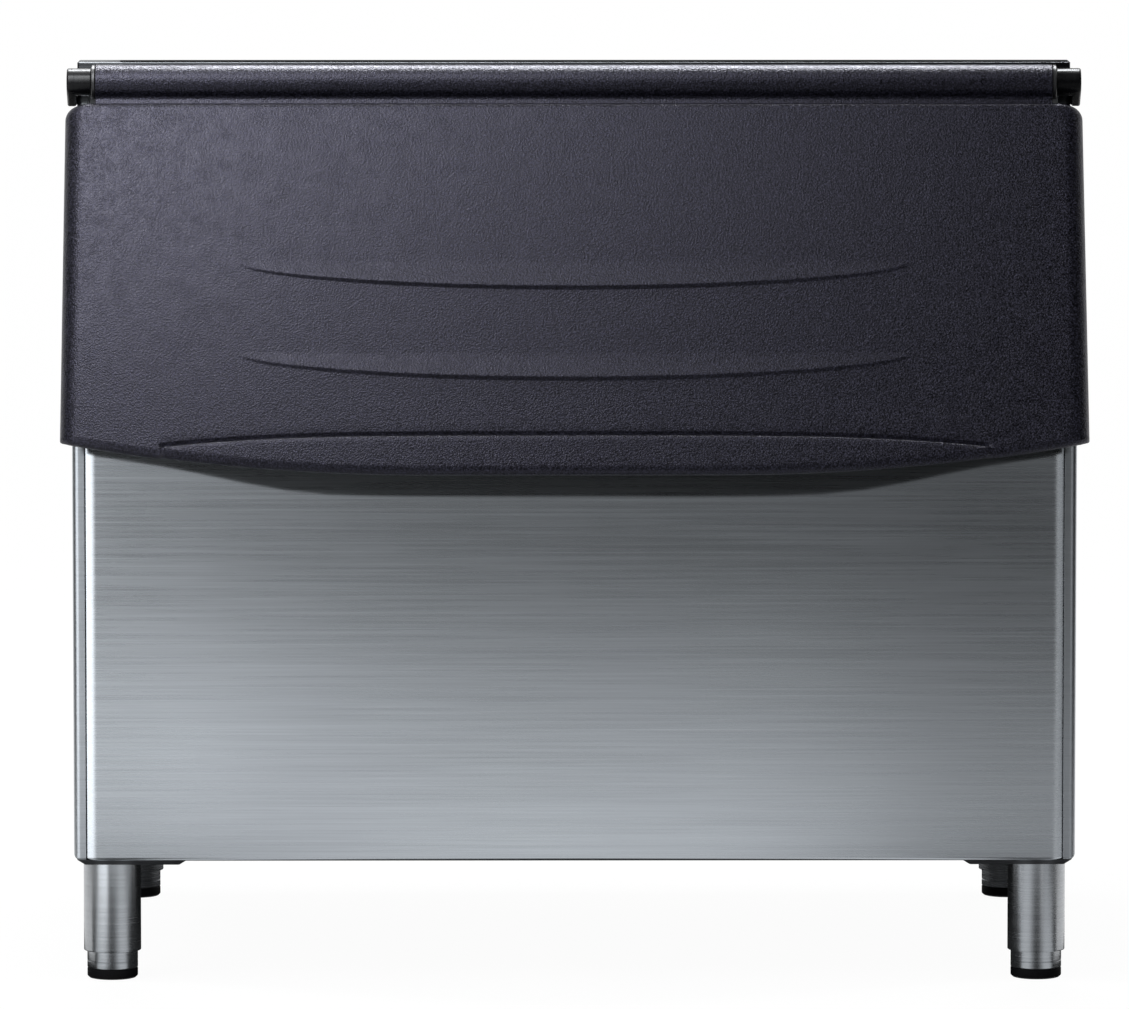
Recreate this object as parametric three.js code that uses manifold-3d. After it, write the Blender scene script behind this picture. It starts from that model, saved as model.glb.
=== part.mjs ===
// Ice storage bin: a steel cabinet with a sloping front, a moulded lift-up lid and four screw feet.
// Millimetres: X right, Y back, Z up. The origin is on the floor, under the middle of the outline.

import * as THREE from 'three';
import { mergeVertices } from 'three/addons/utils/BufferGeometryUtils.js';
import Module from 'manifold-3d';

const wasm = await Module();
wasm.setup();

// Fits
const seatGap = 0.3;
const runningGap = 0.5;
const edgeBreak = 1;
const overrun = 5;
const weld = 0.0005;

// Cabinet
const cabinetWidth = 1220;
const cabinetDepth = 840;
const cabinetTop = 1115;
const slopeDegrees = 25;
const skin = 1.2;
const bendRadius = 8;
const edgeBend = 3;
const returnWidth = 15;
const insulation = 50;
const sillDepth = 18;

// Top rail, which stands above the deck that carries the ice maker
const railDepth = 60;
const railHeight = 22;
const deckBelowRail = 34;

// Liner
const linerWall = 4;
const linerCornerRadius = 45;
const linerCove = 25;
const floorFall = 8;
const floorThickness = 8;

// Door opening in the slope
const openingFromSide = 90;
const openingBelowHinge = 75;
const openingAboveKnee = 45;
const frameThickness = 4;
const frameBelowRail = 9;

// Hinge line
const hingeFromFront = 160;
const hingeBelowTop = 23;
const slopeBehindHinge = 24;
const railBehindHinge = 26;
const rollRadius = 21.5;
const rollEndGap = 24;
const pinDiameter = 12;
const pinLength = 72;
const pinHeadDiameter = 17;
const pinHeadHeight = 2.5;
const bushWall = 4;
const bushLength = 40;
const bushFlange = 4.9;
const knuckleDiameter = 34;
const earThickness = 11;
const earLength = 88;
const earDrop = 30;
const earEdge = 2.5;

// Hinge screws
const screwDiameter = 5;
const screwHead = 10;
const screwHeadHeight = 3;
const screwLength = 24;
const screwFromHinge = 44;
const screwPitch = 26;

// Lid
const lidOverhang = 12.7;
const lidTop = 34;
const lidBelowKnee = 87;
const lidBackGap = 8;
const lidWall = 3.5;
const lidSideRadius = 24;
const lidTopRadius = 8;
const lidBottomRadius = 10;
const lidTopCorner = 17;
const lidBottomCorner = 9;
const lidBottomRise = 42;
const lidFlatShare = 0.29;
const neckFront = 4;
const neckFillet = 6;

// Ridges and handle lip on the lid
const ridgeTopShares = [0.431, 0.675];
const ridgeLengthShare = 0.652;
const ridgeDepth = 31;
const ridgeHeight = 4.5;
const ridgeStep = 0.8;
const lipHeight = 51;
const lipProud = 4;
const lipGroove = 2.2;
const lipGrooveWidth = 6;
const lipEndRise = 15.5;
const lipLengthShare = 0.808;
const lipEndLength = 14;

// Finger pocket behind the lip
const pocketAboveEdge = 14;
const pocketBelowKnee = 10;
const pocketDepth = 16;
const pocketFromSide = 62;

// Inside of the lid
const innerPanelThickness = 4;
const plugDepth = 24;
const plugWall = 3.5;
const plugClearance = 12;
const plugEdge = 10;
const gasketWidth = 16;
const gasketFromPlug = 16;

// Ice baffle
const baffleHeight = 215;
const baffleSheet = 2;
const baffleHem = 10;
const baffleFromRail = 12;
const baffleBelowTop = 85;
const baffleEar = 24;
const baffleSideGap = 14;
const pegDiameter = 8;
const pegFlange = 22;
const pegFlangeHeight = 3;

// Drain
const drainFromBack = 100;
const drainBore = 26;
const drainWall = 5;
const drainFlange = 70;
const drainFlangeHeight = 4;
const drainTail = 34;
const sumpRadius = 42;
const sumpDepth = 6;
const sumpWall = 5;
const locknutDiameter = 58;
const locknutHeight = 14;
const gasketHeight = 2;
const strainerHeight = 9;
const strainerWall = 2;
const strainerHole = 5;
const strainerHoles = 6;

// Legs
const legHeight = 152.4;
const legFromSide = 44;
const legFromFront = 60;
const legDiameter = 70;
const legWall = 3;
const legCap = 4;
const plateSize = 135;
const plateThickness = 7.3;
const plateEdge = 3;
const plateBevel = 10;
const plateCorner = 12;
const sleeveDiameter = 62;
const sleeveShown = 21.4;
const sleeveWall = 3;
const sleeveOverlap = 44;
const padHeight = 12.2;
const padBevel = 3;
const padStubDiameter = 20;
const padStubHeight = 4;
const spindleDiameter = 16;
const spindleLength = 108;
const threadRingHeight = 10;
const threadRingUp = 62;
const legStudLength = 22;
const socketDiameter = 32;
const socketHeight = 24;

// Smoothness, in steps
const tubeSteps = 18;
const smallSteps = 12;
const holeSteps = 8;
const bendSteps = 3;
const cornerSteps = 4;
const rollSteps = 26;

// What follows from the sizes above
const slope = THREE.MathUtils.degToRad(slopeDegrees);
const halfWidth = cabinetWidth / 2;
const deckTop = cabinetTop - deckBelowRail;
const hingeHeight = cabinetTop - hingeBelowTop;
const railFront = hingeFromFront + railBehindHinge;
const railBack = railFront + railDepth;
const kneeHeight = hingeHeight - (hingeFromFront * Math.cos(slope) + slopeBehindHinge) / Math.sin(slope);
const kneeDown = hingeFromFront * Math.sin(slope) + (hingeHeight - kneeHeight) * Math.cos(slope);
const panelHalf = halfWidth - returnWidth - seatGap;
const linerHalf = halfWidth - insulation;
const cavityHalf = linerHalf - linerWall;
const openingHalf = halfWidth - openingFromSide;
const openingBottom = kneeDown - openingAboveKnee;
const lidHalf = halfWidth + lidOverhang;
const lidBottom = kneeDown + lidBelowKnee;
const lidFace = rollRadius;
const lidBack = lidBackGap - slopeBehindHinge;
const rollHalf = halfWidth - rollEndGap;

// Colours
const finishes = {
  brushedSteel: { color: 0x9ea2a6, roughness: 0.36, metalness: 1 },
  plainSteel: { color: 0x8d9094, roughness: 0.5, metalness: 0.9 },
  darkSteel: { color: 0x3a3c40, roughness: 0.5, metalness: 0.7 },
  lidPlastic: { color: 0x4a4b58, roughness: 0.55, metalness: 0 },
  glossBlack: { color: 0x0c0c0e, roughness: 0.18, metalness: 0 },
  liner: { color: 0xeef0f0, roughness: 0.4, metalness: 0 },
  greyPlastic: { color: 0xb9bcc0, roughness: 0.45, metalness: 0 },
  nylon: { color: 0x1a1a1c, roughness: 0.4, metalness: 0 },
  rubber: { color: 0x111111, roughness: 0.85, metalness: 0 },
  seal: { color: 0x56585c, roughness: 0.8, metalness: 0 },
  foam: { color: 0xe6d9a6, roughness: 0.95, metalness: 0 },
};

const vector = (x, y) => new THREE.Vector2(x, y);

// Solids and joins

function solid(geometry) {
  const bare = new THREE.BufferGeometry();
  bare.setAttribute('position', geometry.getAttribute('position'));
  bare.setIndex(geometry.getIndex());
  const merged = mergeVertices(bare, weld);
  const corners = merged.getIndex().array;
  const triangles = [];
  for (let i = 0; i < corners.length; i += 3) {
    const [a, b, c] = corners.slice(i, i + 3);
    if (a !== b && b !== c && c !== a) triangles.push(a, b, c);
  }
  const vertProperties = merged.getAttribute('position').array;
  const mesh = new wasm.Mesh({ numProp: 3, vertProperties, triVerts: new Uint32Array(triangles) });
  return new wasm.Manifold(mesh);
}

function surface(body) {
  const { vertProperties, triVerts } = body.getMesh();
  const geometry = new THREE.BufferGeometry();
  geometry.setAttribute('position', new THREE.BufferAttribute(new Float32Array(vertProperties), 3));
  geometry.setIndex(new THREE.BufferAttribute(new Uint32Array(triVerts), 1));
  geometry.computeVertexNormals();
  return geometry;
}

const join = (first, ...others) => others.reduce((sum, other) => sum.add(other), first);
const cut = (first, ...others) => others.reduce((rest, other) => rest.subtract(other), first);

// A geometry turned so that its own X, Y and Z run along three given axes.
function turned(geometry, x, y, z) {
  const basis = new THREE.Matrix4().makeBasis(
    new THREE.Vector3(...x), new THREE.Vector3(...y), new THREE.Vector3(...z));
  return geometry.applyMatrix4(basis);
}

const alongX = (geometry) => turned(geometry, [0, 1, 0], [0, 0, 1], [1, 0, 0]);
const towardFront = (geometry) => turned(geometry, [1, 0, 0], [0, 0, 1], [0, -1, 0]);
const downward = (geometry) => turned(geometry, [1, 0, 0], [0, -1, 0], [0, 0, -1]);

function mirrored(body) {
  const { vertProperties, triVerts } = body.getMesh();
  const geometry = new THREE.BufferGeometry();
  const places = new Float32Array(vertProperties);
  const corners = new Uint32Array(triVerts);
  for (let i = 0; i < places.length; i += 3) places[i] *= -1;
  for (let i = 0; i < corners.length; i += 3) {
    [corners[i], corners[i + 1]] = [corners[i + 1], corners[i]];
  }
  geometry.setAttribute('position', new THREE.BufferAttribute(places, 3));
  geometry.setIndex(new THREE.BufferAttribute(corners, 1));
  return solid(geometry);
}

function block(low, high) {
  const geometry = new THREE.BoxGeometry(high[0] - low[0], high[1] - low[1], high[2] - low[2]);
  geometry.translate((low[0] + high[0]) / 2, (low[1] + high[1]) / 2, (low[2] + high[2]) / 2);
  return solid(geometry);
}

// An outline drawn out along its own Z, from one place to another.
function drawn(outline, from, to) {
  const shape = new THREE.Shape(outline);
  const geometry = new THREE.ExtrudeGeometry(shape, { depth: to - from, bevelEnabled: false });
  return geometry.translate(0, 0, from);
}

// The same with both rims rounded.
function drawnRounded(outline, from, to, radius, steps = bendSteps) {
  const geometry = new THREE.ExtrudeGeometry(new THREE.Shape(outline), {
    depth: to - from - 2 * radius,
    bevelThickness: radius,
    bevelSize: radius,
    bevelOffset: -radius,
    bevelSegments: steps,
  });
  return geometry.translate(0, 0, from + radius);
}

// A turned piece: its outline gives radius and height, from the lower end on the axis to the upper one.
function lathe(outline, steps = tubeSteps) {
  const geometry = new THREE.LatheGeometry(outline.map(([r, z]) => vector(r, z)), steps);
  return geometry.rotateX(Math.PI / 2);
}

function disc(radius, from, to, steps = tubeSteps) {
  return lathe([[0, from], [radius, from], [radius, to], [0, to]], steps);
}

// Outlines

const rectangle = (x0, y0, x1, y1) => [vector(x0, y0), vector(x1, y0), vector(x1, y1), vector(x0, y1)];
const withoutDoubles = (points) => points.filter((point, i) => point.distanceTo(points.at(i - 1)) > weld);

// An outline with each edge moved inward by its own distance.
function inset(points, distances) {
  const lines = points.map((point, i) => {
    const along = points[(i + 1) % points.length].clone().sub(point).normalize();
    const inward = vector(-along.y, along.x);
    return { start: point.clone().addScaledVector(inward, [distances].flat()[i] ?? distances), along };
  });
  return lines.map((line, i) => {
    const last = lines.at(i - 1);
    const across = last.along.cross(line.along);
    const reach = line.start.clone().sub(last.start).cross(line.along) / across;
    return last.start.clone().addScaledVector(last.along, reach);
  });
}

// An outline with every corner rounded.
function rounded(points, radius, steps = cornerSteps) {
  return points.flatMap((corner, i) => {
    const back = points.at(i - 1).clone().sub(corner).normalize();
    const ahead = points[(i + 1) % points.length].clone().sub(corner).normalize();
    const half = Math.acos(THREE.MathUtils.clamp(back.dot(ahead), -1, 1)) / 2;
    const middle = back.clone().add(ahead).normalize();
    const centre = corner.clone().addScaledVector(middle, radius / Math.sin(half));
    const turn = Math.sign(ahead.cross(back)) * (Math.PI - 2 * half);
    const start = corner.clone().addScaledVector(back, radius / Math.tan(half)).sub(centre);
    return Array.from({ length: steps + 1 }, (_, k) => {
      return start.clone().rotateAround(vector(0, 0), (turn * k) / steps).add(centre);
    });
  });
}

// A folded sheet: flat at one end, with a rim turned all round its outline.
function tray(outline, depth, bend) {
  const over = depth + 2 * overrun + bend;
  const outer = solid(drawnRounded(outline, 0, depth + overrun + bend, bend));
  const inner = solid(drawnRounded(inset(outline, skin), skin, over, Math.max(bend - skin, skin)));
  const reach = cabinetWidth + cabinetDepth + cabinetTop;
  const open = block([-reach, -reach, depth], [reach, reach, over]);
  return cut(outer, inner, open);
}

// Side outline of the cabinet, as Y and Z, anticlockwise from the lower front corner.
const panelTop = deckTop - linerWall - seatGap;
const railSeat = cabinetTop - railHeight - seatGap;
const slopeAt = (height) => (height - kneeHeight) * Math.tan(slope);
function sideOutline() {
  const step = railBack + seatGap;
  return [
    vector(0, legHeight), vector(cabinetDepth, legHeight), vector(cabinetDepth, panelTop),
    vector(step, panelTop), vector(step, railSeat), vector(slopeAt(railSeat), railSeat),
    vector(0, kneeHeight),
  ];
}

// Side outline of the liner, moved in from the outer faces by a wall. Its floor falls to the back.
function linerOutline(wall, floor, top, cove) {
  const face = railFront + wall;
  const knee = kneeHeight - wall * Math.tan(slope / 2);
  const shoulder = knee + (face - wall) / Math.tan(slope);
  const bottom = legHeight + floor;
  const corners = [
    vector(wall, bottom + floorFall), vector(cabinetDepth - wall, bottom), vector(cabinetDepth - wall, top),
    vector(face, top), vector(face, shoulder), vector(wall, knee),
  ];
  const coved = rounded(corners, cove).slice(0, 2 * (cornerSteps + 1));
  return [...coved, ...corners.slice(2)];
}

// Frame of the slope: hung on the hinge line, its -Z runs down the slope and its -Y stands out of it.
function slopeFrame() {
  const frame = new THREE.Group();
  frame.position.set(0, hingeFromFront, hingeHeight);
  frame.rotation.x = -slope;
  return frame;
}

function inCabinet(body) {
  const frame = slopeFrame();
  frame.updateMatrix();
  return solid(surface(body).applyMatrix4(frame.matrix));
}

// A block in the slope's frame: half its width, from and to down the slope, from and to out of it.
function slopeBlock(half, down, out) {
  return block([-half, -out[1], -down[1]], [half, -out[0], -down[0]]);
}

// A rounded plate in the slope's frame, its outline rounded as well.
function slopePlate(half, down, out, corner, edge, steps) {
  const outline = rounded(rectangle(-half, -down[1], half, -down[0]), corner);
  const [low, high] = out;
  const geometry = edge ? drawnRounded(outline, low, high, edge, steps) : drawn(outline, low, high);
  return solid(towardFront(geometry));
}

// Rods that stand up, and pairs of rods across the cabinet at its two sides, from one half width to another.
const rodUp = (radius, x, y, low, high, steps) => solid(disc(radius, low, high, steps)).translate([x, y, 0]);
const sideRods = (radius, y, z, from, to) => {
  const rod = solid(alongX(disc(radius, from, to, smallSteps))).translate([0, y, z]);
  return join(rod, mirrored(rod));
};

// Places

const legPlaces = () => [
  ['front_left', -halfWidth + legFromSide, legFromFront],
  ['front_right', halfWidth - legFromSide, legFromFront],
  ['rear_left', -halfWidth + legFromSide, cabinetDepth - legFromFront],
  ['rear_right', halfWidth - legFromSide, cabinetDepth - legFromFront],
];
const pegPlace = () => ({ y: railBack + baffleFromRail, z: cabinetTop - baffleBelowTop });
const screwPlaces = () => [0, 1].map((i) => [
  hingeFromFront + screwFromHinge + i * screwPitch,
  hingeHeight - earDrop / 2,
]);
const screwHoles = () => screwPlaces().map(([y, z]) => {
  return sideRods(screwDiameter / 2 + seatGap, y, z, halfWidth - screwLength, halfWidth + overrun);
});
const pegHoles = () => {
  const { y, z } = pegPlace();
  return sideRods(pegDiameter / 2 + seatGap, y, z, cavityHalf - overrun, linerHalf + linerWall + seatGap);
};
const drainY = cabinetDepth - drainFromBack;
const floorAtDrain = () => {
  const wall = insulation + linerWall;
  const share = (drainFromBack - wall) / (cabinetDepth - 2 * wall);
  return legHeight + insulation + floorThickness + floorFall * share;
};
const sumpBase = () => floorAtDrain() - sumpDepth;
const drainHole = () => rodUp(drainBore / 2 + drainWall + seatGap, 0, drainY, 0, floorAtDrain(), tubeSteps);

// The way through the slope that the door frame's collar lines
const doorway = () => {
  const edge = frameThickness + seatGap;
  return inCabinet(slopeBlock(openingHalf + edge, [openingBelowHinge - edge, openingBottom + edge],
    [-slopeBehindHinge - insulation - linerWall - overrun, overrun]));
};

// Cabinet

function sidePanel() {
  const panel = tray(sideOutline(), returnWidth, bendRadius);
  return cut(solid(alongX(surface(panel)).translate(-halfWidth, 0, 0)), ...screwHoles());
}

function frontPanel() {
  const band = (depth) => {
    const inward = vector(Math.cos(slope), -Math.sin(slope)).multiplyScalar(depth);
    const sill = vector(sillDepth * Math.sin(slope), kneeHeight + sillDepth * Math.cos(slope));
    const innerKnee = vector(depth, kneeHeight - depth * Math.tan(slope / 2));
    return [
      vector(0, legHeight), vector(depth, legHeight), innerKnee, sill.clone().add(inward), sill,
      vector(0, kneeHeight),
    ];
  };
  const deep = band(2 * (returnWidth + bendRadius));
  const hollow = inset(deep, [skin, 0, 0, skin, skin, skin]);
  const outer = solid(alongX(drawnRounded(deep, -panelHalf, panelHalf, bendRadius)));
  const inner = solid(alongX(drawnRounded(hollow, skin - panelHalf, panelHalf - skin, bendRadius - skin)));
  const kept = solid(alongX(drawn(band(returnWidth), -halfWidth, halfWidth)));
  return cut(outer, inner).intersect(kept);
}

function backPanel() {
  const outline = rectangle(-panelHalf, legHeight, panelHalf, panelTop);
  return solid(towardFront(surface(tray(outline, returnWidth, edgeBend))).translate(0, cabinetDepth, 0));
}

function basePan() {
  const edge = returnWidth + seatGap;
  const outline = rectangle(-panelHalf + seatGap, edge, panelHalf - seatGap, cabinetDepth - edge);
  const studs = legPlaces().map(([, x, y]) => {
    return rodUp(spindleDiameter / 2 + runningGap, x, y, 0, cabinetTop, smallSteps);
  });
  return cut(tray(outline, returnWidth, edgeBend).translate([0, 0, legHeight]), drainHole(), ...studs);
}

// The rail's rear rim reaches down to the deck, between the side panels.
function topRail() {
  const outline = rectangle(-halfWidth, -railBack, halfWidth, -railFront);
  const rail = solid(downward(surface(tray(outline, railHeight, edgeBend))).translate(0, 0, cabinetTop));
  const rearRim = block(
    [seatGap - panelHalf, railBack - skin, deckTop + seatGap],
    [panelHalf - seatGap, railBack, railSeat + overrun]);
  return join(rail, rearRim);
}

// The room above the deck, and in front of it, a little lower, that of the rail's rear rim
function aboveDeck() {
  const front = railBack - skin - seatGap;
  const top = cabinetTop + overrun;
  const deckRoom = block([-cabinetWidth, front, deckTop], [cabinetWidth, cabinetDepth + overrun, top]);
  const rimRoom = block([-cabinetWidth, front, deckTop - seatGap], [cabinetWidth, railBack + seatGap, top]);
  return join(deckRoom, rimRoom);
}

// All that the liner takes up inside the foam, and a gap more where the foam is cut.
function linerBody(gap) {
  const wall = insulation - gap;
  const half = linerHalf + gap;
  const side = solid(alongX(drawn(linerOutline(wall, wall, cabinetTop, linerCove), -half, half)));
  const plan = rounded(rectangle(-half, wall, half, cabinetDepth - wall), linerCornerRadius);
  const tub = side.intersect(solid(drawn(plan, 0, cabinetTop)));
  const bossFoot = sumpBase() - sumpWall - gap;
  const boss = rodUp(sumpRadius + sumpWall + gap, 0, drainY, bossFoot, floorAtDrain(), tubeSteps);
  return join(tub, boss);
}

function linerTub() {
  const wall = insulation + linerWall;
  const outline = linerOutline(wall, insulation + floorThickness, cabinetTop + overrun, linerCove);
  const side = solid(alongX(drawn(outline, -cavityHalf, cavityHalf)));
  const plan = rounded(rectangle(-cavityHalf, wall, cavityHalf, cabinetDepth - wall), linerCornerRadius);
  const cavity = side.intersect(solid(drawn(plan, 0, cabinetTop + 2 * overrun)));
  const flange = block(
    [-halfWidth + seatGap, railBack + seatGap, deckTop - linerWall],
    [halfWidth - seatGap, cabinetDepth - seatGap, deckTop]);
  const underRail = block([-halfWidth, 0, railSeat], [halfWidth, railBack + seatGap, cabinetTop + overrun]);
  const sump = rodUp(sumpRadius, 0, drainY, sumpBase(), cabinetTop / 2, tubeSteps);
  const room = [cavity, underRail, aboveDeck(), doorway(), sump, drainHole(), pegHoles()];
  return cut(join(linerBody(0), flange), ...room);
}

// The foam fills the cabinet, with its edges taken off round the rims of the panels.
function cabinetFoam() {
  const gap = skin + seatGap;
  const chamfer = 2 * returnWidth;
  const belowDeck = inset([
    vector(0, legHeight), vector(cabinetDepth, legHeight), vector(cabinetDepth, panelTop),
    vector(slopeAt(panelTop), panelTop), vector(0, kneeHeight),
  ], gap);
  const outerCorners = rounded(belowDeck, chamfer, 1).slice(0, 2 * 3);
  const chamfered = [...outerCorners, ...belowDeck.slice(3)];
  const main = solid(alongX(drawnRounded(chamfered, gap - halfWidth, halfWidth - gap, chamfer, 1)));
  const half = panelHalf - seatGap;
  const railPart = solid(alongX(drawn(inset(sideOutline(), gap), -half, half)))
    .intersect(block([-halfWidth, 0, panelTop - chamfer], [halfWidth, railBack, cabinetTop]));
  const fill = join(main, railPart);
  const sillTop = kneeDown - sillDepth;
  const sillRoom = inCabinet(slopeBlock(halfWidth, [sillTop - seatGap, sillTop + bendRadius + seatGap],
    [-slopeBehindHinge - returnWidth - seatGap, 0]));
  const frameRoom = inCabinet(slopeBlock(halfWidth, [-openingBelowHinge, sillTop],
    [-slopeBehindHinge - frameThickness - seatGap, 0]));
  const sockets = legPlaces().map(([, x, y]) => {
    const high = legHeight + skin + socketHeight + 2 * seatGap;
    return rodUp(socketDiameter / 2 + seatGap, x, y, 0, high, smallSteps);
  });
  const rooms = [linerBody(seatGap), aboveDeck(), frameRoom, sillRoom, doorway(), drainHole(), pegHoles()];
  return cut(fill, ...rooms, ...sockets, ...screwHoles());
}

function doorFrame() {
  const face = [-slopeBehindHinge - frameThickness, -slopeBehindHinge];
  const top = frameBelowRail - hingeBelowTop + railHeight;
  const plate = slopeBlock(panelHalf - seatGap, [-top, kneeDown - sillDepth - seatGap], face);
  const depth = [-slopeBehindHinge - insulation - linerWall, -slopeBehindHinge - frameThickness / 2];
  const collar = slopeBlock(openingHalf + frameThickness,
    [openingBelowHinge - frameThickness, openingBottom + frameThickness], depth);
  const way = slopePlate(openingHalf, [openingBelowHinge, openingBottom],
    [depth[0] - overrun, overrun], plugEdge, 0);
  return cut(join(plate, collar), way);
}

// Lid

const lidEdgeDown = (x) => {
  const flat = lidHalf * lidFlatShare;
  const share = Math.max(0, Math.abs(x) - flat) / (lidHalf - flat);
  return lidBottom - lidBottomRise * share ** 2;
};

// How deep a ridge or the lip is at a place across the lid, as a share of its middle.
const ridgeShare = (x) => {
  const share = Math.abs(x) / (lidHalf * ridgeLengthShare);
  return share < 1 ? (1 - share ** 2) ** 0.6 : 0;
};
const lipShare = (x) => {
  const end = lidHalf * lipLengthShare;
  return THREE.MathUtils.smoothstep(end - Math.abs(x), 0, lipEndLength);
};
const lipTopDown = (x) => {
  const share = Math.abs(x) / (lidHalf * lipLengthShare);
  return lidBottom - lipHeight + lipEndRise * share ** 4;
};

// Rows of the lid's face, top to bottom: how far down, how proud, and how far a corner draws the row in.
function lidRows() {
  const rows = [];
  const add = (down, proud, fromEnd = Infinity, corner = lidTopCorner) => {
    const inner = Math.max(0, corner - fromEnd);
    rows.push({ down, proud, drawIn: corner - Math.sqrt(corner ** 2 - inner ** 2) });
  };
  const quarter = [0, 1, 2, 3].map((i) => (i * Math.PI) / 6);
  for (const angle of quarter) {
    const down = lidTopRadius * (1 - Math.cos(angle));
    add(() => lidTop + down, () => lidTopRadius * (Math.sin(angle) - 1), down);
  }
  add(() => lidTop + lidTopCorner, () => 0);
  for (const share of ridgeTopShares) {
    const top = lidTop + (lidBottom - lidTop) * share;
    const arc = (x) => top + ridgeStep + ridgeDepth * ridgeShare(x);
    add(() => top, () => 0);
    add(arc, (x) => ridgeHeight * ridgeShare(x));
    add((x) => arc(x) + ridgeStep, () => 0);
  }
  const held = (x) => Math.min(lipTopDown(x), lidEdgeDown(x) - lidBottomRadius - 2 * lipGrooveWidth);
  add((x) => held(x) - lipGrooveWidth / 2, () => 0);
  add(held, (x) => -lipGroove * lipShare(x));
  add((x) => held(x) + lipGrooveWidth / 2, (x) => (lipProud * lipShare(x)) / 2);
  add((x) => held(x) + lipGrooveWidth, (x) => lipProud * lipShare(x));
  for (const angle of quarter.toReversed()) {
    const up = lidBottomRadius * (1 - Math.cos(angle));
    const proud = (x) => lipProud * lipShare(x) + lidBottomRadius * (Math.sin(angle) - 1);
    add((x) => lidEdgeDown(x) - up, proud, up, lidBottomCorner);
  }
  return rows;
}

// Places across a row, from the left edge to the right one: a share of the row and a fall at its edges.
const lidColumnShares = [
  0.12, 0.24, 0.34, 0.43, 0.5, 0.56, 0.61, 0.645, 0.67, 0.7, 0.75, 0.8, 0.83, 0.845, 0.87, 0.93,
];
function lidColumns() {
  const quarter = [3, 2, 1, 0].map((i) => (i * Math.PI) / 6);
  const right = [
    ...lidColumnShares.map((share) => ({ share, fromEdge: lidSideRadius, fall: 0 })),
    ...quarter.map((angle) => ({
      share: 1,
      fromEdge: lidSideRadius * (1 - Math.cos(angle)),
      fall: lidSideRadius * (1 - Math.sin(angle)),
    })),
  ];
  const left = right.map((column) => ({ ...column, share: -column.share })).toReversed();
  return [...left, { share: 0, fromEdge: lidSideRadius, fall: 0 }, ...right];
}

// The moulded face: a sheet of rows and columns with walls down to a flat back.
function lidPanel() {
  const rows = lidRows();
  const columns = lidColumns();
  const place = (i, j) => {
    const row = rows[THREE.MathUtils.clamp(i, 0, rows.length - 1)];
    const column = columns[THREE.MathUtils.clamp(j, 0, columns.length - 1)];
    const edge = lidHalf - row.drawIn;
    const inner = column.share * (edge - lidSideRadius);
    const x = Math.abs(column.share) < 1 ? inner : Math.sign(column.share) * (edge - column.fromEdge);
    const wall = i < 0 || j < 0 || i === rows.length || j === columns.length;
    const out = wall ? lidBack : lidFace + row.proud(x) - column.fall;
    return new THREE.Vector3(x, -out, -row.down(x));
  };
  const positions = [];
  const face = (...corners) => corners.forEach((corner) => positions.push(corner.x, corner.y, corner.z));
  for (let i = -1; i < rows.length; i += 1) {
    for (let j = -1; j < columns.length; j += 1) {
      const [a, b] = [place(i, j), place(i, j + 1)];
      const [c, d] = [place(i + 1, j + 1), place(i + 1, j)];
      face(a, d, c);
      face(a, c, b);
    }
  }
  const last = { i: rows.length, j: columns.length };
  const border = withoutDoubles([
    ...columns.map((_, j) => place(last.i, j)),
    ...rows.map((_, i) => place(i, last.j)).toReversed(),
    ...columns.map((_, j) => place(-1, j)).toReversed(),
    ...rows.map((_, i) => place(i, -1)),
  ]);
  const outline = border.map((point) => vector(point.x, point.z));
  for (const corners of THREE.ShapeUtils.triangulateShape(outline, [])) {
    face(...corners.map((i) => border[i]).toReversed());
  }
  const geometry = new THREE.BufferGeometry();
  geometry.setAttribute('position', new THREE.Float32BufferAttribute(positions, 3));
  return solid(geometry);
}

// The roll round the hinge line and the neck that joins it to the face, as out and down.
function lidRoll() {
  const reach = neckFront + neckFillet;
  const downTo = Math.sqrt((rollRadius + neckFillet) ** 2 - reach ** 2);
  const touch = Math.atan2(downTo, reach);
  const backDown = Math.sqrt(rollRadius ** 2 - lidBack ** 2);
  const backAngle = Math.atan2(backDown, lidBack);
  const neckEnd = lidTop + lidTopCorner;
  const shape = new THREE.Shape();
  shape.moveTo(lidBack, neckEnd);
  shape.lineTo(lidBack, backDown);
  shape.absarc(0, 0, rollRadius, backAngle, touch + 2 * Math.PI, false);
  shape.absarc(reach, downTo, neckFillet, touch + Math.PI, Math.PI, true);
  shape.lineTo(neckFront, neckEnd);
  const outline = withoutDoubles(shape.getPoints(rollSteps));
  return solid(turned(drawn(outline, -rollHalf, rollHalf), [0, -1, 0], [0, 0, -1], [1, 0, 0]));
}

function lidShell() {
  const boreRadius = pinDiameter / 2 + runningGap + bushWall + seatGap;
  const bore = solid(alongX(disc(boreRadius, -lidHalf, lidHalf, tubeSteps)));
  const half = lidHalf - lidSideRadius - lidWall;
  const hollow = slopePlate(half, [lidTop + lidTopRadius, kneeDown],
    [lidBack - overrun, lidFace - lidWall], lidBottomRadius, 0);
  const pocketHalf = lidHalf - pocketFromSide;
  const pocketTop = kneeDown + pocketBelowKnee;
  const lower = lidColumnShares.flatMap((share) => [-share, share]).concat(0, -1, 1).sort((a, b) => a - b);
  const pocketOutline = [
    ...lower.map((share) => vector(share * pocketHalf, -lidEdgeDown(share * pocketHalf) + pocketAboveEdge)),
    vector(pocketHalf, -pocketTop), vector(-pocketHalf, -pocketTop),
  ];
  const pocket = solid(towardFront(drawn(pocketOutline, lidBack - overrun, lidBack + pocketDepth)));
  return cut(join(lidPanel(), lidRoll()), bore, hollow, pocket);
}

const innerHalf = () => lidHalf - lidSideRadius - lidWall - seatGap;
const plugHalf = () => openingHalf - plugClearance;
const plugDown = () => [openingBelowHinge + plugClearance, openingBottom - plugClearance];

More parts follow.
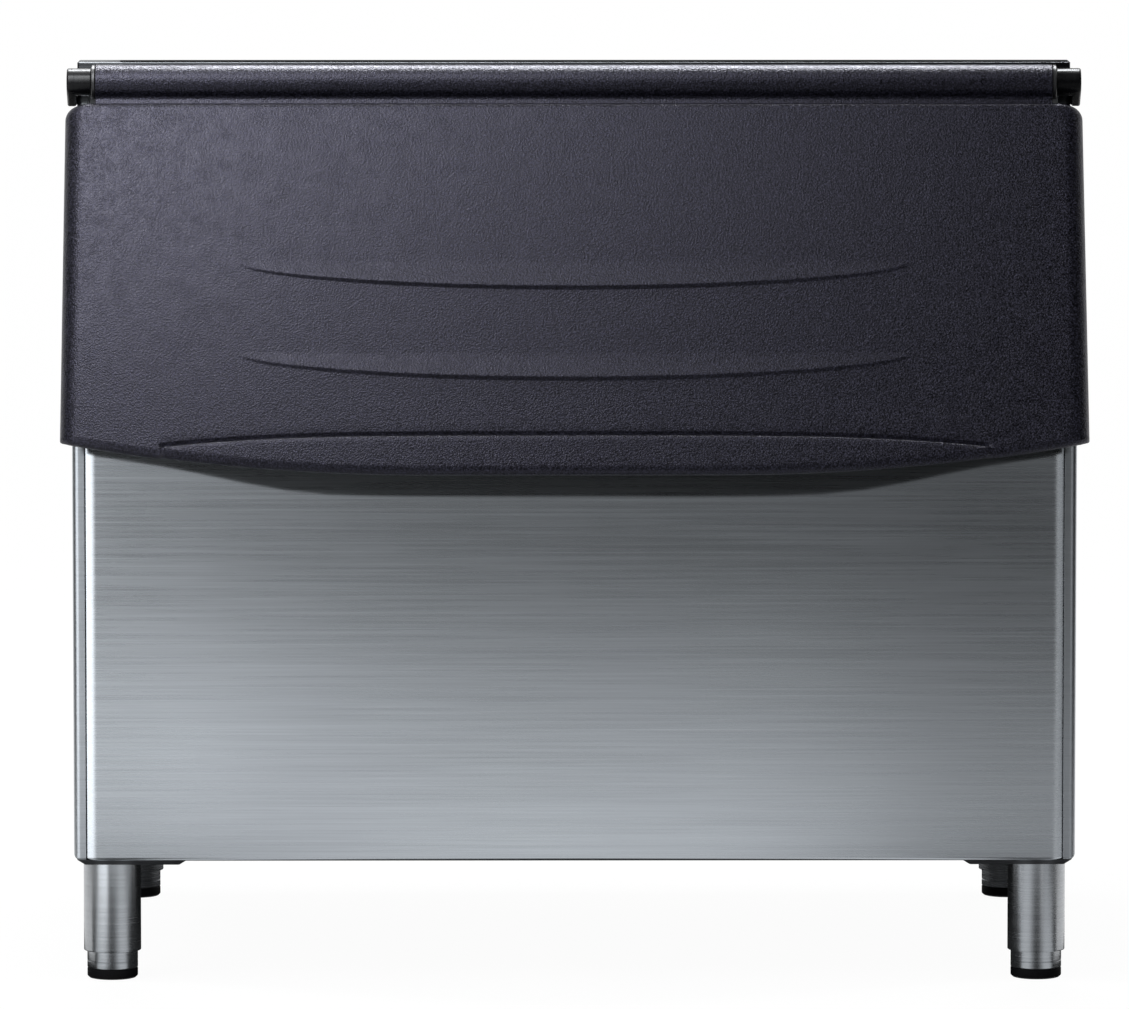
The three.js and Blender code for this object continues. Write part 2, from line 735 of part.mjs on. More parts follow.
function lidFoam() {
  const edge = lidBottomRadius;
  const fill = slopePlate(innerHalf(), [lidTop + lidTopRadius + seatGap, kneeDown - seatGap],
    [lidBack + innerPanelThickness + seatGap, lidFace - lidWall - seatGap], edge, 0);
  const wall = plugWall + seatGap;
  const [top, bottom] = plugDown();
  const plug = slopePlate(plugHalf() - wall, [top + wall, bottom - wall],
    [lidBack - plugDepth + wall, lidBack + innerPanelThickness + 2 * seatGap], edge, 0);
  return join(fill, plug);
}

function lidInnerPanel() {
  const plate = slopePlate(innerHalf(), [lidTop + lidTopRadius + seatGap, kneeDown - seatGap],
    [lidBack, lidBack + innerPanelThickness], lidBottomRadius, 0);
  const [top, bottom] = plugDown();
  const face = lidBack + innerPanelThickness;
  const plug = slopePlate(plugHalf(), [top, bottom], [lidBack - plugDepth, face], plugEdge, plugWall);
  const hollow = slopePlate(plugHalf() - plugWall, [top + plugWall, bottom - plugWall],
    [lidBack - plugDepth + plugWall, face + overrun], lidBottomRadius, 0);
  const base = slopePlate(plugHalf(), [top, bottom], [lidBack - plugDepth / 2, face], plugEdge, 0);
  return cut(join(plate, plug, base), hollow);
}

function lidGasket() {
  const [top, bottom] = plugDown();
  const inner = gasketFromPlug;
  const outer = gasketFromPlug + gasketWidth;
  const depth = [seatGap - slopeBehindHinge, lidBack - seatGap];
  const band = slopePlate(plugHalf() + outer, [top - outer, bottom + outer], depth, outer, seatGap * 2, 1);
  const hole = slopePlate(plugHalf() + inner, [top - inner, bottom + inner],
    [depth[0] - overrun, depth[1] + overrun], inner, 0);
  return cut(band, hole);
}

// Right-hand hinge pieces, measured from the hinge line; the left ones mirror them.
const earInner = halfWidth + seatGap;
const earOuter = earInner + earThickness;
const knuckleInner = rollHalf + seatGap + bushFlange + seatGap;
const pinHeadInner = earOuter - pinHeadHeight - seatGap;

function hingeBracket() {
  const round = knuckleDiameter / 2;
  const shape = new THREE.Shape();
  const corner = earDrop / 3;
  shape.moveTo(corner, -earDrop);
  shape.lineTo(earLength - corner, -earDrop);
  shape.absarc(earLength - corner, corner - earDrop, corner, -Math.PI / 2, 0, false);
  shape.absarc(earLength - corner, -corner, corner, 0, Math.PI / 2, false);
  shape.absarc(0, 0, round, Math.PI / 2, (5 * Math.PI) / 4, false);
  const outline = withoutDoubles(shape.getPoints(bendSteps));
  const ear = solid(alongX(drawnRounded(outline, earInner, earOuter, earEdge, 1)));
  const edge = earEdge / 2;
  const knuckle = solid(alongX(lathe([
    [0, knuckleInner], [round - edge, knuckleInner], [round, knuckleInner + edge],
    [round, earInner + earEdge], [0, earInner + earEdge],
  ])));
  const hole = (diameter, from) => {
    return solid(alongX(disc(diameter / 2 + seatGap, from, earOuter + overrun, smallSteps)));
  };
  const bore = hole(pinDiameter, knuckleInner - overrun);
  const headRoom = hole(pinHeadDiameter, pinHeadInner - seatGap);
  const screws = screwPlaces().map(([y, z]) => {
    const shank = hole(screwDiameter, earInner - overrun);
    const head = hole(screwHead, earOuter - screwHeadHeight - 2 * seatGap);
    return join(shank, head).translate([0, y - hingeFromFront, z - hingeHeight]);
  });
  return cut(join(ear, knuckle), bore, headRoom, ...screws);
}

function hingePin() {
  const [shank, head] = [pinDiameter / 2, pinHeadDiameter / 2];
  const tip = pinHeadInner - pinLength;
  return solid(alongX(lathe([
    [0, tip], [shank - edgeBreak, tip], [shank, tip + edgeBreak], [shank, pinHeadInner],
    [head, pinHeadInner], [head, pinHeadInner + pinHeadHeight], [0, pinHeadInner + pinHeadHeight],
  ], smallSteps)));
}

function hingeBush() {
  const bore = pinDiameter / 2 + runningGap;
  const sleeve = bore + bushWall;
  const start = rollHalf + seatGap;
  const flange = rollRadius - runningGap;
  return solid(alongX(lathe([
    [bore, start - bushLength], [sleeve, start - bushLength], [sleeve, start], [flange, start],
    [flange, start + bushFlange], [bore, start + bushFlange], [bore, start - bushLength],
  ])));
}

function hingeScrew() {
  const [shank, head] = [screwDiameter / 2, screwHead / 2];
  const under = earOuter - screwHeadHeight - seatGap;
  return solid(alongX(lathe([
    [0, under - screwLength], [shank, under - screwLength + screwDiameter], [shank, under], [head, under],
    [head, under + screwHeadHeight / 2], [head / 2, under + screwHeadHeight], [0, under + screwHeadHeight],
  ], smallSteps)));
}

// Baffle, measured from its pegs

function iceBaffle() {
  const half = cavityHalf - baffleSideGap;
  const top = baffleEar / 2;
  const bottom = top - baffleHeight;
  const roll = baffleHem / 2;
  const sheet = block([-half, -baffleSheet / 2, bottom], [half, baffleSheet / 2, top]);
  const hem = solid(alongX(disc(roll, -half, half, smallSteps)));
  const hems = [top, bottom].map((z) => hem.translate([0, 0, z]));
  const ears = [-1, 1].map((side) => {
    const across = [side * half, side * (half - baffleSheet)].sort((a, b) => a - b);
    return block([across[0], -baffleEar / 2, -baffleEar / 2], [across[1], baffleEar / 2, baffleEar / 2]);
  });
  const inner = half - baffleSheet;
  const holes = [[-half - overrun, -inner + seatGap], [inner - seatGap, half + overrun]].map(([from, to]) => {
    return solid(alongX(disc(pegDiameter / 2 + runningGap, from, to, smallSteps)));
  });
  return cut(join(sheet, ...hems, ...ears), ...holes);
}

function bafflePeg() {
  const [shank, flange] = [pegDiameter / 2, pegFlange / 2];
  const wall = cavityHalf - seatGap;
  const tip = cavityHalf - baffleSideGap - baffleSheet + 2 * seatGap;
  return solid(alongX(lathe([
    [0, tip], [shank, tip], [shank, wall - pegFlangeHeight], [flange, wall - pegFlangeHeight], [flange, wall],
    [shank, wall], [shank, linerHalf + linerWall], [0, linerHalf + linerWall],
  ], smallSteps)));
}

// Drain, in place

const drainRadius = drainBore / 2;
const drainOuter = drainRadius + drainWall;
const drainSeat = () => sumpBase() + seatGap;

function drainFitting() {
  const under = drainSeat() + gasketHeight + seatGap;
  const flange = drainFlange / 2;
  const tail = legHeight - drainTail;
  return solid(lathe([
    [drainRadius, tail], [drainOuter, tail], [drainOuter, under], [flange, under],
    [flange, under + drainFlangeHeight / 2], [flange - drainFlangeHeight / 2, under + drainFlangeHeight],
    [drainRadius, under + drainFlangeHeight], [drainRadius, tail],
  ])).translate([0, drainY, 0]);
}

function drainGasket() {
  const [inner, outer] = [drainOuter + seatGap, drainFlange / 2];
  const [low, high] = [drainSeat(), drainSeat() + gasketHeight];
  const ring = solid(lathe([[inner, low], [outer, low], [outer, high], [inner, high], [inner, low]]));
  return ring.translate([0, drainY, 0]);
}

function drainLocknut() {
  const [inner, outer] = [drainOuter + seatGap, locknutDiameter / 2];
  const high = legHeight - seatGap;
  const low = high - locknutHeight;
  const hexagon = 6;
  const nut = solid(lathe([[0, low], [outer, low], [outer, high], [0, high]], hexagon));
  return cut(nut, solid(disc(inner, low - overrun, high + overrun, tubeSteps))).translate([0, drainY, 0]);
}

function drainStrainer() {
  const seat = drainSeat() + gasketHeight + seatGap + drainFlangeHeight + seatGap;
  const stub = drainRadius - seatGap;
  const [stubWall, rim] = [stub - strainerWall, drainOuter + strainerWall];
  const foot = seat - strainerHeight;
  const cap = solid(lathe([
    [0, seat], [stubWall, seat], [stubWall, foot], [stub, foot], [stub, seat],
    [rim, seat], [rim, seat + strainerWall], [0, seat + strainerWall],
  ]));
  const reach = stubWall - strainerHole / 2 - seatGap;
  const holes = Array.from({ length: strainerHoles }, (_, i) => {
    const place = vector(reach, 0).rotateAround(vector(0, 0), (i * 2 * Math.PI) / strainerHoles);
    return rodUp(strainerHole / 2, place.x, place.y, 0, cabinetTop, holeSteps);
  });
  return cut(cap, ...holes).translate([0, drainY, 0]);
}

// Legs, measured from the floor under their middles

const sleeveFoot = padHeight + seatGap;
const tubeFoot = sleeveFoot + sleeveShown + seatGap;
const plateTop = legHeight - seatGap;
const tubeTop = plateTop - plateThickness - seatGap;
const spindle = spindleDiameter / 2;

// The plate reaches past its leg towards the middle of the cabinet.
function legPlate(x, y) {
  const toEdge = legFromSide - plateEdge;
  const side = Math.sign(x);
  const end = y < cabinetDepth / 2 ? 1 : -1;
  const centre = [x + side * (toEdge - plateSize / 2), y - end * (legFromFront - plateEdge - plateSize / 2)];
  const half = plateSize / 2;
  const outline = rounded(rectangle(-half, -half, half, half), plateCorner);
  const geometry = new THREE.ExtrudeGeometry(new THREE.Shape(outline), {
    depth: plateThickness,
    bevelThickness: plateThickness - edgeBreak,
    bevelSize: plateBevel,
    bevelOffset: -plateBevel,
    bevelSegments: 1,
  });
  const plate = solid(geometry.translate(centre[0], centre[1], plateTop - edgeBreak));
  const above = block([-cabinetWidth, -cabinetDepth, plateTop], [cabinetWidth, 2 * cabinetDepth, cabinetTop]);
  return cut(plate, above, rodUp(spindle + runningGap, x, y, 0, cabinetTop, smallSteps));
}

function legTube() {
  const outer = legDiameter / 2;
  const inner = outer - legWall;
  const bore = spindle + runningGap;
  const ring = tubeFoot + threadRingUp;
  const ringTop = ring + threadRingHeight;
  const cap = tubeTop - legCap;
  return solid(lathe([
    [0, cap], [inner, cap], [inner, ringTop], [bore, ringTop], [bore, ring], [inner, ring],
    [inner, tubeFoot], [outer - edgeBreak, tubeFoot], [outer, tubeFoot + edgeBreak], [outer, tubeTop],
    [spindle, tubeTop], [spindle, tubeTop + legStudLength], [0, tubeTop + legStudLength],
  ]));
}

function footSleeve() {
  const outer = sleeveDiameter / 2;
  const inner = outer - sleeveWall;
  const stub = padStubDiameter / 2 + runningGap;
  const recess = sleeveFoot + padStubHeight;
  const floor = recess + sleeveWall;
  const top = sleeveFoot + sleeveShown + sleeveOverlap;
  const tip = sleeveFoot + spindleLength;
  const tipEdge = 2 * edgeBreak;
  return solid(lathe([
    [0, recess], [stub, recess], [stub, sleeveFoot], [outer - edgeBreak, sleeveFoot],
    [outer, sleeveFoot + edgeBreak], [outer, top], [inner, top], [inner, floor], [spindle, floor],
    [spindle, tip - tipEdge], [spindle - tipEdge, tip], [0, tip],
  ]));
}

function footPad() {
  const outer = sleeveDiameter / 2;
  const stub = padStubDiameter / 2;
  return solid(lathe([
    [0, 0], [outer - padBevel, 0], [outer, padBevel], [outer, padHeight], [stub, padHeight],
    [stub, padHeight + padStubHeight - seatGap], [0, padHeight + padStubHeight - seatGap],
  ]));
}

function legSocket() {
  const [inner, outer] = [spindle + runningGap, socketDiameter / 2];
  const low = legHeight + skin + seatGap;
  const high = low + socketHeight;
  return solid(lathe([[inner, low], [outer, low], [outer, high], [inner, high], [inner, low]], smallSteps));
}

// The bin

function piece(parent, name, body, finish, x = 0, y = 0, z = 0) {
  const mesh = new THREE.Mesh(surface(body), new THREE.MeshStandardMaterial(finish));
  mesh.name = name;
  mesh.position.set(x, y, z);
  parent.add(mesh);
}

function cabinet() {
  const group = new THREE.Group();
  const left = sidePanel();
  piece(group, 'front_panel', frontPanel(), finishes.brushedSteel);
  piece(group, 'side_panel_left', left, finishes.brushedSteel);
  piece(group, 'side_panel_right', mirrored(left), finishes.brushedSteel);
  piece(group, 'back_panel', backPanel(), finishes.plainSteel);
  piece(group, 'base_pan', basePan(), finishes.plainSteel);
  piece(group, 'top_rail', topRail(), finishes.brushedSteel);
  piece(group, 'liner_tub', linerTub(), finishes.liner);
  piece(group, 'cabinet_foam', cabinetFoam(), finishes.foam);
  piece(group, 'door_frame', inCabinet(doorFrame()), finishes.greyPlastic);
  return group;
}

function lid() {
  const group = slopeFrame();
  piece(group, 'lid_outer_shell', lidShell(), finishes.lidPlastic);
  piece(group, 'lid_foam', lidFoam(), finishes.foam);
  piece(group, 'lid_inner_panel', lidInnerPanel(), finishes.liner);
  piece(group, 'lid_gasket', lidGasket(), finishes.seal);
  return group;
}

function hinges() {
  const group = new THREE.Group();
  group.position.set(0, hingeFromFront, hingeHeight);
  for (const [side, seen] of [['right', (body) => body], ['left', mirrored]]) {
    piece(group, `hinge_bracket_${side}`, seen(hingeBracket()), finishes.glossBlack);
    piece(group, `hinge_pin_${side}`, seen(hingePin()), finishes.plainSteel);
    piece(group, `hinge_bush_${side}`, seen(hingeBush()), finishes.nylon);
    screwPlaces().forEach(([y, z], i) => {
      const place = [0, y - hingeFromFront, z - hingeHeight];
      piece(group, `hinge_screw_${side}_${i + 1}`, seen(hingeScrew()), finishes.plainSteel, ...place);
    });
  }
  return group;
}

function baffle() {
  const group = new THREE.Group();
  group.position.set(0, pegPlace().y, pegPlace().z);
  piece(group, 'ice_baffle', iceBaffle(), finishes.brushedSteel);
  piece(group, 'baffle_peg_right', bafflePeg(), finishes.plainSteel);
  piece(group, 'baffle_peg_left', mirrored(bafflePeg()), finishes.plainSteel);
  return group;
}

function drain() {
  const group = new THREE.Group();
  piece(group, 'drain_fitting', drainFitting(), finishes.greyPlastic);
  piece(group, 'drain_gasket', drainGasket(), finishes.rubber);
  piece(group, 'drain_locknut', drainLocknut(), finishes.greyPlastic);
  piece(group, 'drain_strainer', drainStrainer(), finishes.greyPlastic);
  return group;
}

function legs() {
  const group = new THREE.Group();
  for (const [corner, x, y] of legPlaces()) {
    piece(group, `leg_plate_${corner}`, legPlate(x, y), finishes.darkSteel);
    piece(group, `leg_socket_${corner}`, legSocket(), finishes.plainSteel, x, y);
    piece(group, `leg_tube_${corner}`, legTube(), finishes.brushedSteel, x, y);
    piece(group, `foot_sleeve_${corner}`, footSleeve(), finishes.brushedSteel, x, y);
    piece(group, `foot_pad_${corner}`, footPad(), finishes.rubber, x, y);
  }
  return group;
}

const body = new THREE.Group();
body.add(cabinet(), lid(), hinges(), baffle(), drain(), legs());
const extent = new THREE.Box3().setFromObject(body, true);
body.position.y = -(extent.min.y + extent.max.y) / 2;

const bin = new THREE.Group();
bin.add(body);

export default bin;
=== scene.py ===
"""Looks of the ice storage bin. Sizes are in millimetres here and become metres where a piece is made."""

import math

import bmesh
import bpy
from mathutils import Matrix, Vector


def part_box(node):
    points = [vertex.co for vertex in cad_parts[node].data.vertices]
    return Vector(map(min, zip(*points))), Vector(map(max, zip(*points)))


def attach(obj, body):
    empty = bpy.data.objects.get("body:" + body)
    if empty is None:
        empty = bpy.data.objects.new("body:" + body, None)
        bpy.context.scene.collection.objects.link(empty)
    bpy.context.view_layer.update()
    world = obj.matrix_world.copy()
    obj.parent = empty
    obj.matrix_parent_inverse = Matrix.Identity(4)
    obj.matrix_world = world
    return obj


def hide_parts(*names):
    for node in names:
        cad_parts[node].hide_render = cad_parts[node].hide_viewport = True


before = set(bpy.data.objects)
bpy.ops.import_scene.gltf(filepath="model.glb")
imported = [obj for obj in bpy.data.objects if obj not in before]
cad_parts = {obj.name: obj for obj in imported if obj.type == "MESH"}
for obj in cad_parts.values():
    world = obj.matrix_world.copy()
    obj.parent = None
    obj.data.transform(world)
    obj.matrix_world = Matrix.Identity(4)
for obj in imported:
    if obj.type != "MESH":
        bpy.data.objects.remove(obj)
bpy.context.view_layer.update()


def span(node, axis=2):
    """Where a CAD piece starts and ends along an axis."""
    low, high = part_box(node)
    return low[axis] * 1000, high[axis] * 1000


# Main sizes and places, those along Y counted from the CAD's front and back
FRONT = span("front_panel", 1)[0]
BACK = span("back_panel", 1)[1]
LEG_TOP = 152.4
TOP = 1115.0
HALF_WIDTH = 610.0
HINGE_FROM_FRONT = 160.0
HINGE_Y = FRONT + HINGE_FROM_FRONT
HINGE_Z = 1092.0
SLOPE = math.radians(25)
SLOPE_BEHIND = 24.0
SKIN = 1.2
GAP = 0.3
RIM = 15.0
SILL = 18.0
KNEE_Z = HINGE_Z - (HINGE_FROM_FRONT * math.cos(SLOPE) + SLOPE_BEHIND) / math.sin(SLOPE)
KNEE_DOWN = HINGE_FROM_FRONT * math.sin(SLOPE) + (HINGE_Z - KNEE_Z) * math.cos(SLOPE)
PANEL_HALF = HALF_WIDTH - RIM - GAP
DECK = TOP - 34.0
PANEL_TOP = DECK - 4 - GAP
RAIL_FRONT, RAIL_BACK, RAIL_DEEP = 186.0, 246.0, 22.0
RAIL_SEAT = TOP - RAIL_DEEP - GAP
DOOR_HALF, DOOR_TOP, DOOR_BOTTOM, PLUG_GAP = 520.0, 75.0, 385.06, 12.0
DRAIN_Y = FRONT + 740
BAFFLE_Y, BAFFLE_Z = FRONT + 258, 1030.0
SIDES = ((-1, "left"), (1, "right"))
LEG_X = 566.0
LEGS = {f"{end}_{word}": (side * LEG_X, y) for end, y in (("front", FRONT + 60), ("rear", BACK - 60))
        for side, word in SIDES}


# Mesh tools

def evenly(start, end, steps):
    return [start + (end - start) * i / steps for i in range(steps + 1)]


def arc(radius, start, end, steps):
    return [(radius * math.cos(a), radius * math.sin(a)) for a in evenly(start, end, steps)]


def circle(radius, count, start=0.0):
    return arc(radius, start, start + 2 * math.pi, count)[:-1]


def quarter(radius, steps):
    """A quarter round, each point as its distances from the two edges that it joins."""
    return [(radius * (1 - math.cos(t)), radius * (1 - math.sin(t))) for t in evenly(0, math.pi / 2, steps)]


def above(base, *points):
    """Points of a profile, or stations, whose heights are counted from a base."""
    return [(first, base + height) for first, height in points]


def round_corner(before, corner, after, radius, steps):
    """The points of an arc that rounds a corner of an outline."""
    back, ahead = (before - corner).normalized(), (after - corner).normalized()
    half = back.angle(ahead) / 2
    centre = corner + (back + ahead).normalized() * (radius / math.sin(half))
    start = corner + back * (radius / math.tan(half)) - centre
    end = corner + ahead * (radius / math.tan(half)) - centre
    turn = math.atan2(start.x * end.y - start.y * end.x, start.dot(end))
    spun = lambda a: Vector((start.x * math.cos(a) - start.y * math.sin(a),
                             start.x * math.sin(a) + start.y * math.cos(a)))
    return [centre + spun(a) for a in evenly(0, turn, steps)]


class Outline:
    """A closed anticlockwise outline whose corners are rounded by one radius, or each by its own."""

    def __init__(self, corners, radius=0, steps=6):
        self.corners = [Vector(p) for p in corners]
        self.radii = radius if isinstance(radius, (list, tuple)) else [radius] * len(self.corners)
        self.steps = steps

    def ring(self, inset=0.0):
        """Its points with all edges moved inward, the corners keeping their centres."""
        count, moved, bends = len(self.corners), [], []
        for i, here in enumerate(self.corners):
            a = (here - self.corners[i - 1]).normalized()
            b = (self.corners[(i + 1) % count] - here).normalized()
            moved.append(here + Vector((-a.y - b.y, a.x + b.x)) * (inset / (1 + a.dot(b))))
            bends.append(-1 if a.cross(b) > 0 else 1)
        points = []
        for i, here in enumerate(moved):
            if self.radii[i]:
                radius = max(self.radii[i] + bends[i] * inset, 0.15)
                points += round_corner(moved[i - 1], here, moved[(i + 1) % count], radius, self.steps)
            else:
                points.append(here)
        return points


def field(half, low, high, radius=0, steps=6):
    """A rounded rectangle that reaches equally far to the left and right."""
    return Outline([(-half, low), (half, low), (half, high), (-half, high)], radius, steps)


def door_outline(out, radius, steps):
    """The doorway in the plane of the slope, moved outward."""
    return field(DOOR_HALF + out, -DOOR_BOTTOM - out, out - DOOR_TOP, radius, steps)


def bridged(mesh, rows, closed=False):
    """Faces between rows of points, each row open or closed."""
    for low, high in zip(rows, rows[1:]):
        for i in range(len(low) if closed else len(low) - 1):
            j = (i + 1) % len(low)
            mesh.faces.new((low[i], low[j], high[j], high[i]))


def facing_out(mesh):
    bmesh.ops.recalc_face_normals(mesh, faces=mesh.faces)
    return mesh


def layered(outline, stations, place):
    """A closed body through copies of an outline, each at (moved in by, height), and put in place."""
    outline = outline if isinstance(outline, Outline) else Outline(outline)
    mesh = bmesh.new()
    rings = [[mesh.verts.new(place(p.x, p.y, height)) for p in outline.ring(inset)] for inset, height in stations]
    bridged(mesh, rings, closed=True)
    mesh.faces.new(rings[0][::-1])
    mesh.faces.new(rings[-1])
    return facing_out(mesh)


def rim(bend, height, sign, steps):
    """Stations of a rounded rim that ends at a height: sign is 1 where the body lies below it."""
    return [(inset, height - sign * fall) for inset, fall in quarter(bend, steps)]


def plate(outline, low, high, place, edge=1.0, steps=3):
    """A plate with both its rims rounded."""
    return layered(outline, rim(edge, low, -1, steps)[::-1] + rim(edge, high, 1, steps), place)


def tray(outline, depth, bend, place, steps=5):
    """A folded sheet: flat at height 0, with its rim turned up to a depth."""
    outer = rim(bend, 0, -1, steps)[::-1] + [(0, depth - 0.3), (0.3, depth)]
    inside = max(bend - SKIN, 0.5)
    inner = [(SKIN + a, SKIN + b) for a, b in rim(inside, 0, -1, steps)]
    return layered(outline, outer + [(SKIN, depth)] + inner, place)


def turned(profile, place, steps=64):
    """A turned body from (radius, height) points, from one end of its axis to the other."""
    mesh = bmesh.new()
    rings = [[mesh.verts.new(place(x, y, height)) for x, y in circle(radius, steps if radius else 1)]
             for radius, height in profile]
    for low, high in zip(rings, rings[1:]):
        for i in range(steps):
            corners = [low[i % len(low)], low[(i + 1) % len(low)], high[(i + 1) % len(high)], high[i % len(high)]]
            corners = list(dict.fromkeys(corners))
            if len(corners) > 2:
                mesh.faces.new(corners)
    return facing_out(mesh)


def turned_ring(profile, place, steps=64):
    """A turned ring: the profile's last point meets its first."""
    return turned(profile + [profile[0]], place, steps)


def rod(radius, start, end, place, steps):
    """A plain turned body, for bores and bosses."""
    return turned([(0, start), (radius, start), (radius, end), (0, end)], place, steps)


def softened(profile, radius):
    """A turned profile with its sharp corners rounded."""
    points = [Vector(p) for p in profile]
    result = [points[0]]
    for before, corner, after in zip(points, points[1:], points[2:]):
        reach = min((before - corner).length, (after - corner).length) / 2.2
        angle = (before - corner).angle(after - corner)
        if angle > math.radians(160) or reach < 0.05:
            result.append(corner)
        else:
            result += round_corner(before, corner, after, min(radius, reach * math.tan(angle / 2)), 3)
    return result + [points[-1]]


def kept(mesh, name="held"):
    """A mesh under construction as Blender's own mesh."""
    data = bpy.data.meshes.new(name)
    mesh.to_mesh(data)
    mesh.free()
    return data


def shown(name, data):
    item = bpy.data.objects.new(name, data)
    bpy.context.collection.objects.link(item)
    return item


def joined(*meshes):
    """Several bodies in one mesh."""
    whole = bmesh.new()
    for mesh in meshes:
        data = kept(mesh)
        whole.from_mesh(data)
        bpy.data.meshes.remove(data)
    return whole


def combined(mesh, others, operation="DIFFERENCE"):
    """One body with others cut from it or added to it."""
    target, *tools = [shown("held", kept(body)) for body in (mesh, *others)]
    for tool in tools:
        modifier = target.modifiers.new("shape", "BOOLEAN")
        modifier.operation = operation
        modifier.solver = "EXACT"
        modifier.object = tool
    result = bmesh.new()
    result.from_object(target, bpy.context.evaluated_depsgraph_get())
    for item in (target, *tools):
        data = item.data
        bpy.data.objects.remove(item)
        bpy.data.meshes.remove(data)
    return result


def piece(name, mesh, finish, stands_for, body="cabinet", smooth_to=32):
    """A finished piece: sharp edges marked, in metres, riding on its body and standing for its CAD node."""
    bmesh.ops.remove_doubles(mesh, verts=mesh.verts, dist=0.002)
    for face in mesh.faces:
        face.smooth = True
    limit = math.radians(smooth_to)
    for edge in mesh.edges:
        edge.smooth = len(edge.link_faces) == 2 and edge.calc_face_angle(0) < limit
    data = kept(mesh, name)
    data.transform(Matrix.Scale(0.001, 4))
    data.materials.append(finish.material)
    item = shown(name, data)
    item.modifiers.new("flat_faces_stay_flat", "WEIGHTED_NORMAL").keep_sharp = True
    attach(item, body)
    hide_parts(stands_for)
    return item


# Places for outlines: each gives X, Y and Z from an outline's own two sides and its height

def upright(x=0.0, y=0.0, z=0.0):
    return lambda u, v, w: Vector((x + u, y + v, z + w))


def across(side=1, y=0.0, z=0.0):
    """Outline in Y and Z, height along X; side -1 mirrors it to the left."""
    return lambda u, v, w: Vector((side * w, y + u, z + v))


def baffle_axis(side=1, up=0.0):
    return across(side, BAFFLE_Y, BAFFLE_Z + up)


def on_slope(x, down, out):
    """A place in the frame of the slope: across, down the slope from the hinge, and out of it."""
    return Vector((x, HINGE_Y - math.sin(SLOPE) * down - math.cos(SLOPE) * out,
                   HINGE_Z - math.cos(SLOPE) * down + math.sin(SLOPE) * out))


def slope_plan(u, v, w):
    """Outline as X and distance up from the hinge, height out of the slope."""
    return on_slope(u, -v, w)


# Finishes

class Link:
    """A socket of a finish that takes part in sums."""

    def __init__(self, finish, socket):
        self.finish, self.socket = finish, socket

    def sum(self, operation, *values, clamp=False):
        return self.finish.node("ShaderNodeMath", {"operation": operation, "use_clamp": clamp}, dict(enumerate(values)))

    def __add__(self, other):
        return self.sum("ADD", self, other)

    def __sub__(self, other):
        return self.sum("SUBTRACT", self, other)

    def __rsub__(self, other):
        return self.sum("SUBTRACT", other, self)

    def __mul__(self, other):
        return self.sum("MULTIPLY", self, other)

    def __truediv__(self, other):
        return self.sum("DIVIDE", self, other)

    def __abs__(self):
        return self.sum("ABSOLUTE", self)

    def clamped(self):
        return self.sum("ADD", self, 0, clamp=True)

    __radd__ = __add__
    __rmul__ = __mul__


class Shading:
    """A tree of nodes that are added one by one."""

    def __init__(self, owner):
        owner.use_nodes = True
        self.tree = owner.node_tree
        self.place = self.node("ShaderNodeTexCoord", out="Object")

    def feed(self, socket, value):
        if isinstance(value, Link):
            self.tree.links.new(value.socket, socket)
        elif socket.type == "RGBA":
            socket.default_value = (*value, 1)
        else:
            socket.default_value = value

    def node(self, kind, settings=None, inputs=None, out=0):
        node = self.tree.nodes.new(kind)
        for key, value in (settings or {}).items():
            if key == "stops":
                elements = node.color_ramp.elements
                for place, level in value[2:]:
                    elements.new(place)
                for element, (place, level) in zip(elements, value):
                    element.position = place
                    element.color = (level, level, level, 1)
            else:
                setattr(node, key, value)
        for key, value in (inputs or {}).items():
            self.feed(node.inputs[key], value)
        return Link(self, node.outputs[out])

    def noise(self, scale, detail=2, roughness=0.5):
        """Noise with a scale in counts per metre, or with one for each axis."""
        where = self.place
        if isinstance(scale, tuple):
            where = self.node("ShaderNodeMapping", {"vector_type": "POINT"}, {"Vector": where, "Scale": scale})
            scale = 1
        return self.node("ShaderNodeTexNoise", None,
                         {"Vector": where, "Scale": scale, "Detail": detail, "Roughness": roughness})

    def cells(self, scale, feature="F1"):
        return self.node("ShaderNodeTexVoronoi", {"feature": feature}, {"Vector": self.place, "Scale": scale},
                         out="Distance")

    def ramp(self, value, low, high, to_low, to_high, smooth=False):
        return self.node("ShaderNodeMapRange", {"interpolation_type": "SMOOTHSTEP" if smooth else "LINEAR"},
                         {"Value": value, "From Min": low, "From Max": high, "To Min": to_low, "To Max": to_high})

    def steps(self, value, *stops):
        """A level that changes over a value, through (value, level) stops."""
        return self.node("ShaderNodeValToRGB", {"stops": stops}, {0: value})

    def mixed(self, factor, first, second):
        return self.node("ShaderNodeMix", {"data_type": "RGBA"}, {0: factor, 6: first, 7: second}, out=2)

    def along(self, axis):
        return self.node("ShaderNodeSeparateXYZ", None, {0: self.place}, out=axis)

    def seen_direct(self):
        """1 for rays from the camera and for those that gloss or clear plastic sends on, else 0."""
        camera, gloss, clear = [self.node("ShaderNodeLightPath", out=ray) for ray in
                                ("Is Camera Ray", "Is Glossy Ray", "Is Transmission Ray")]
        return (camera + gloss + clear).clamped()


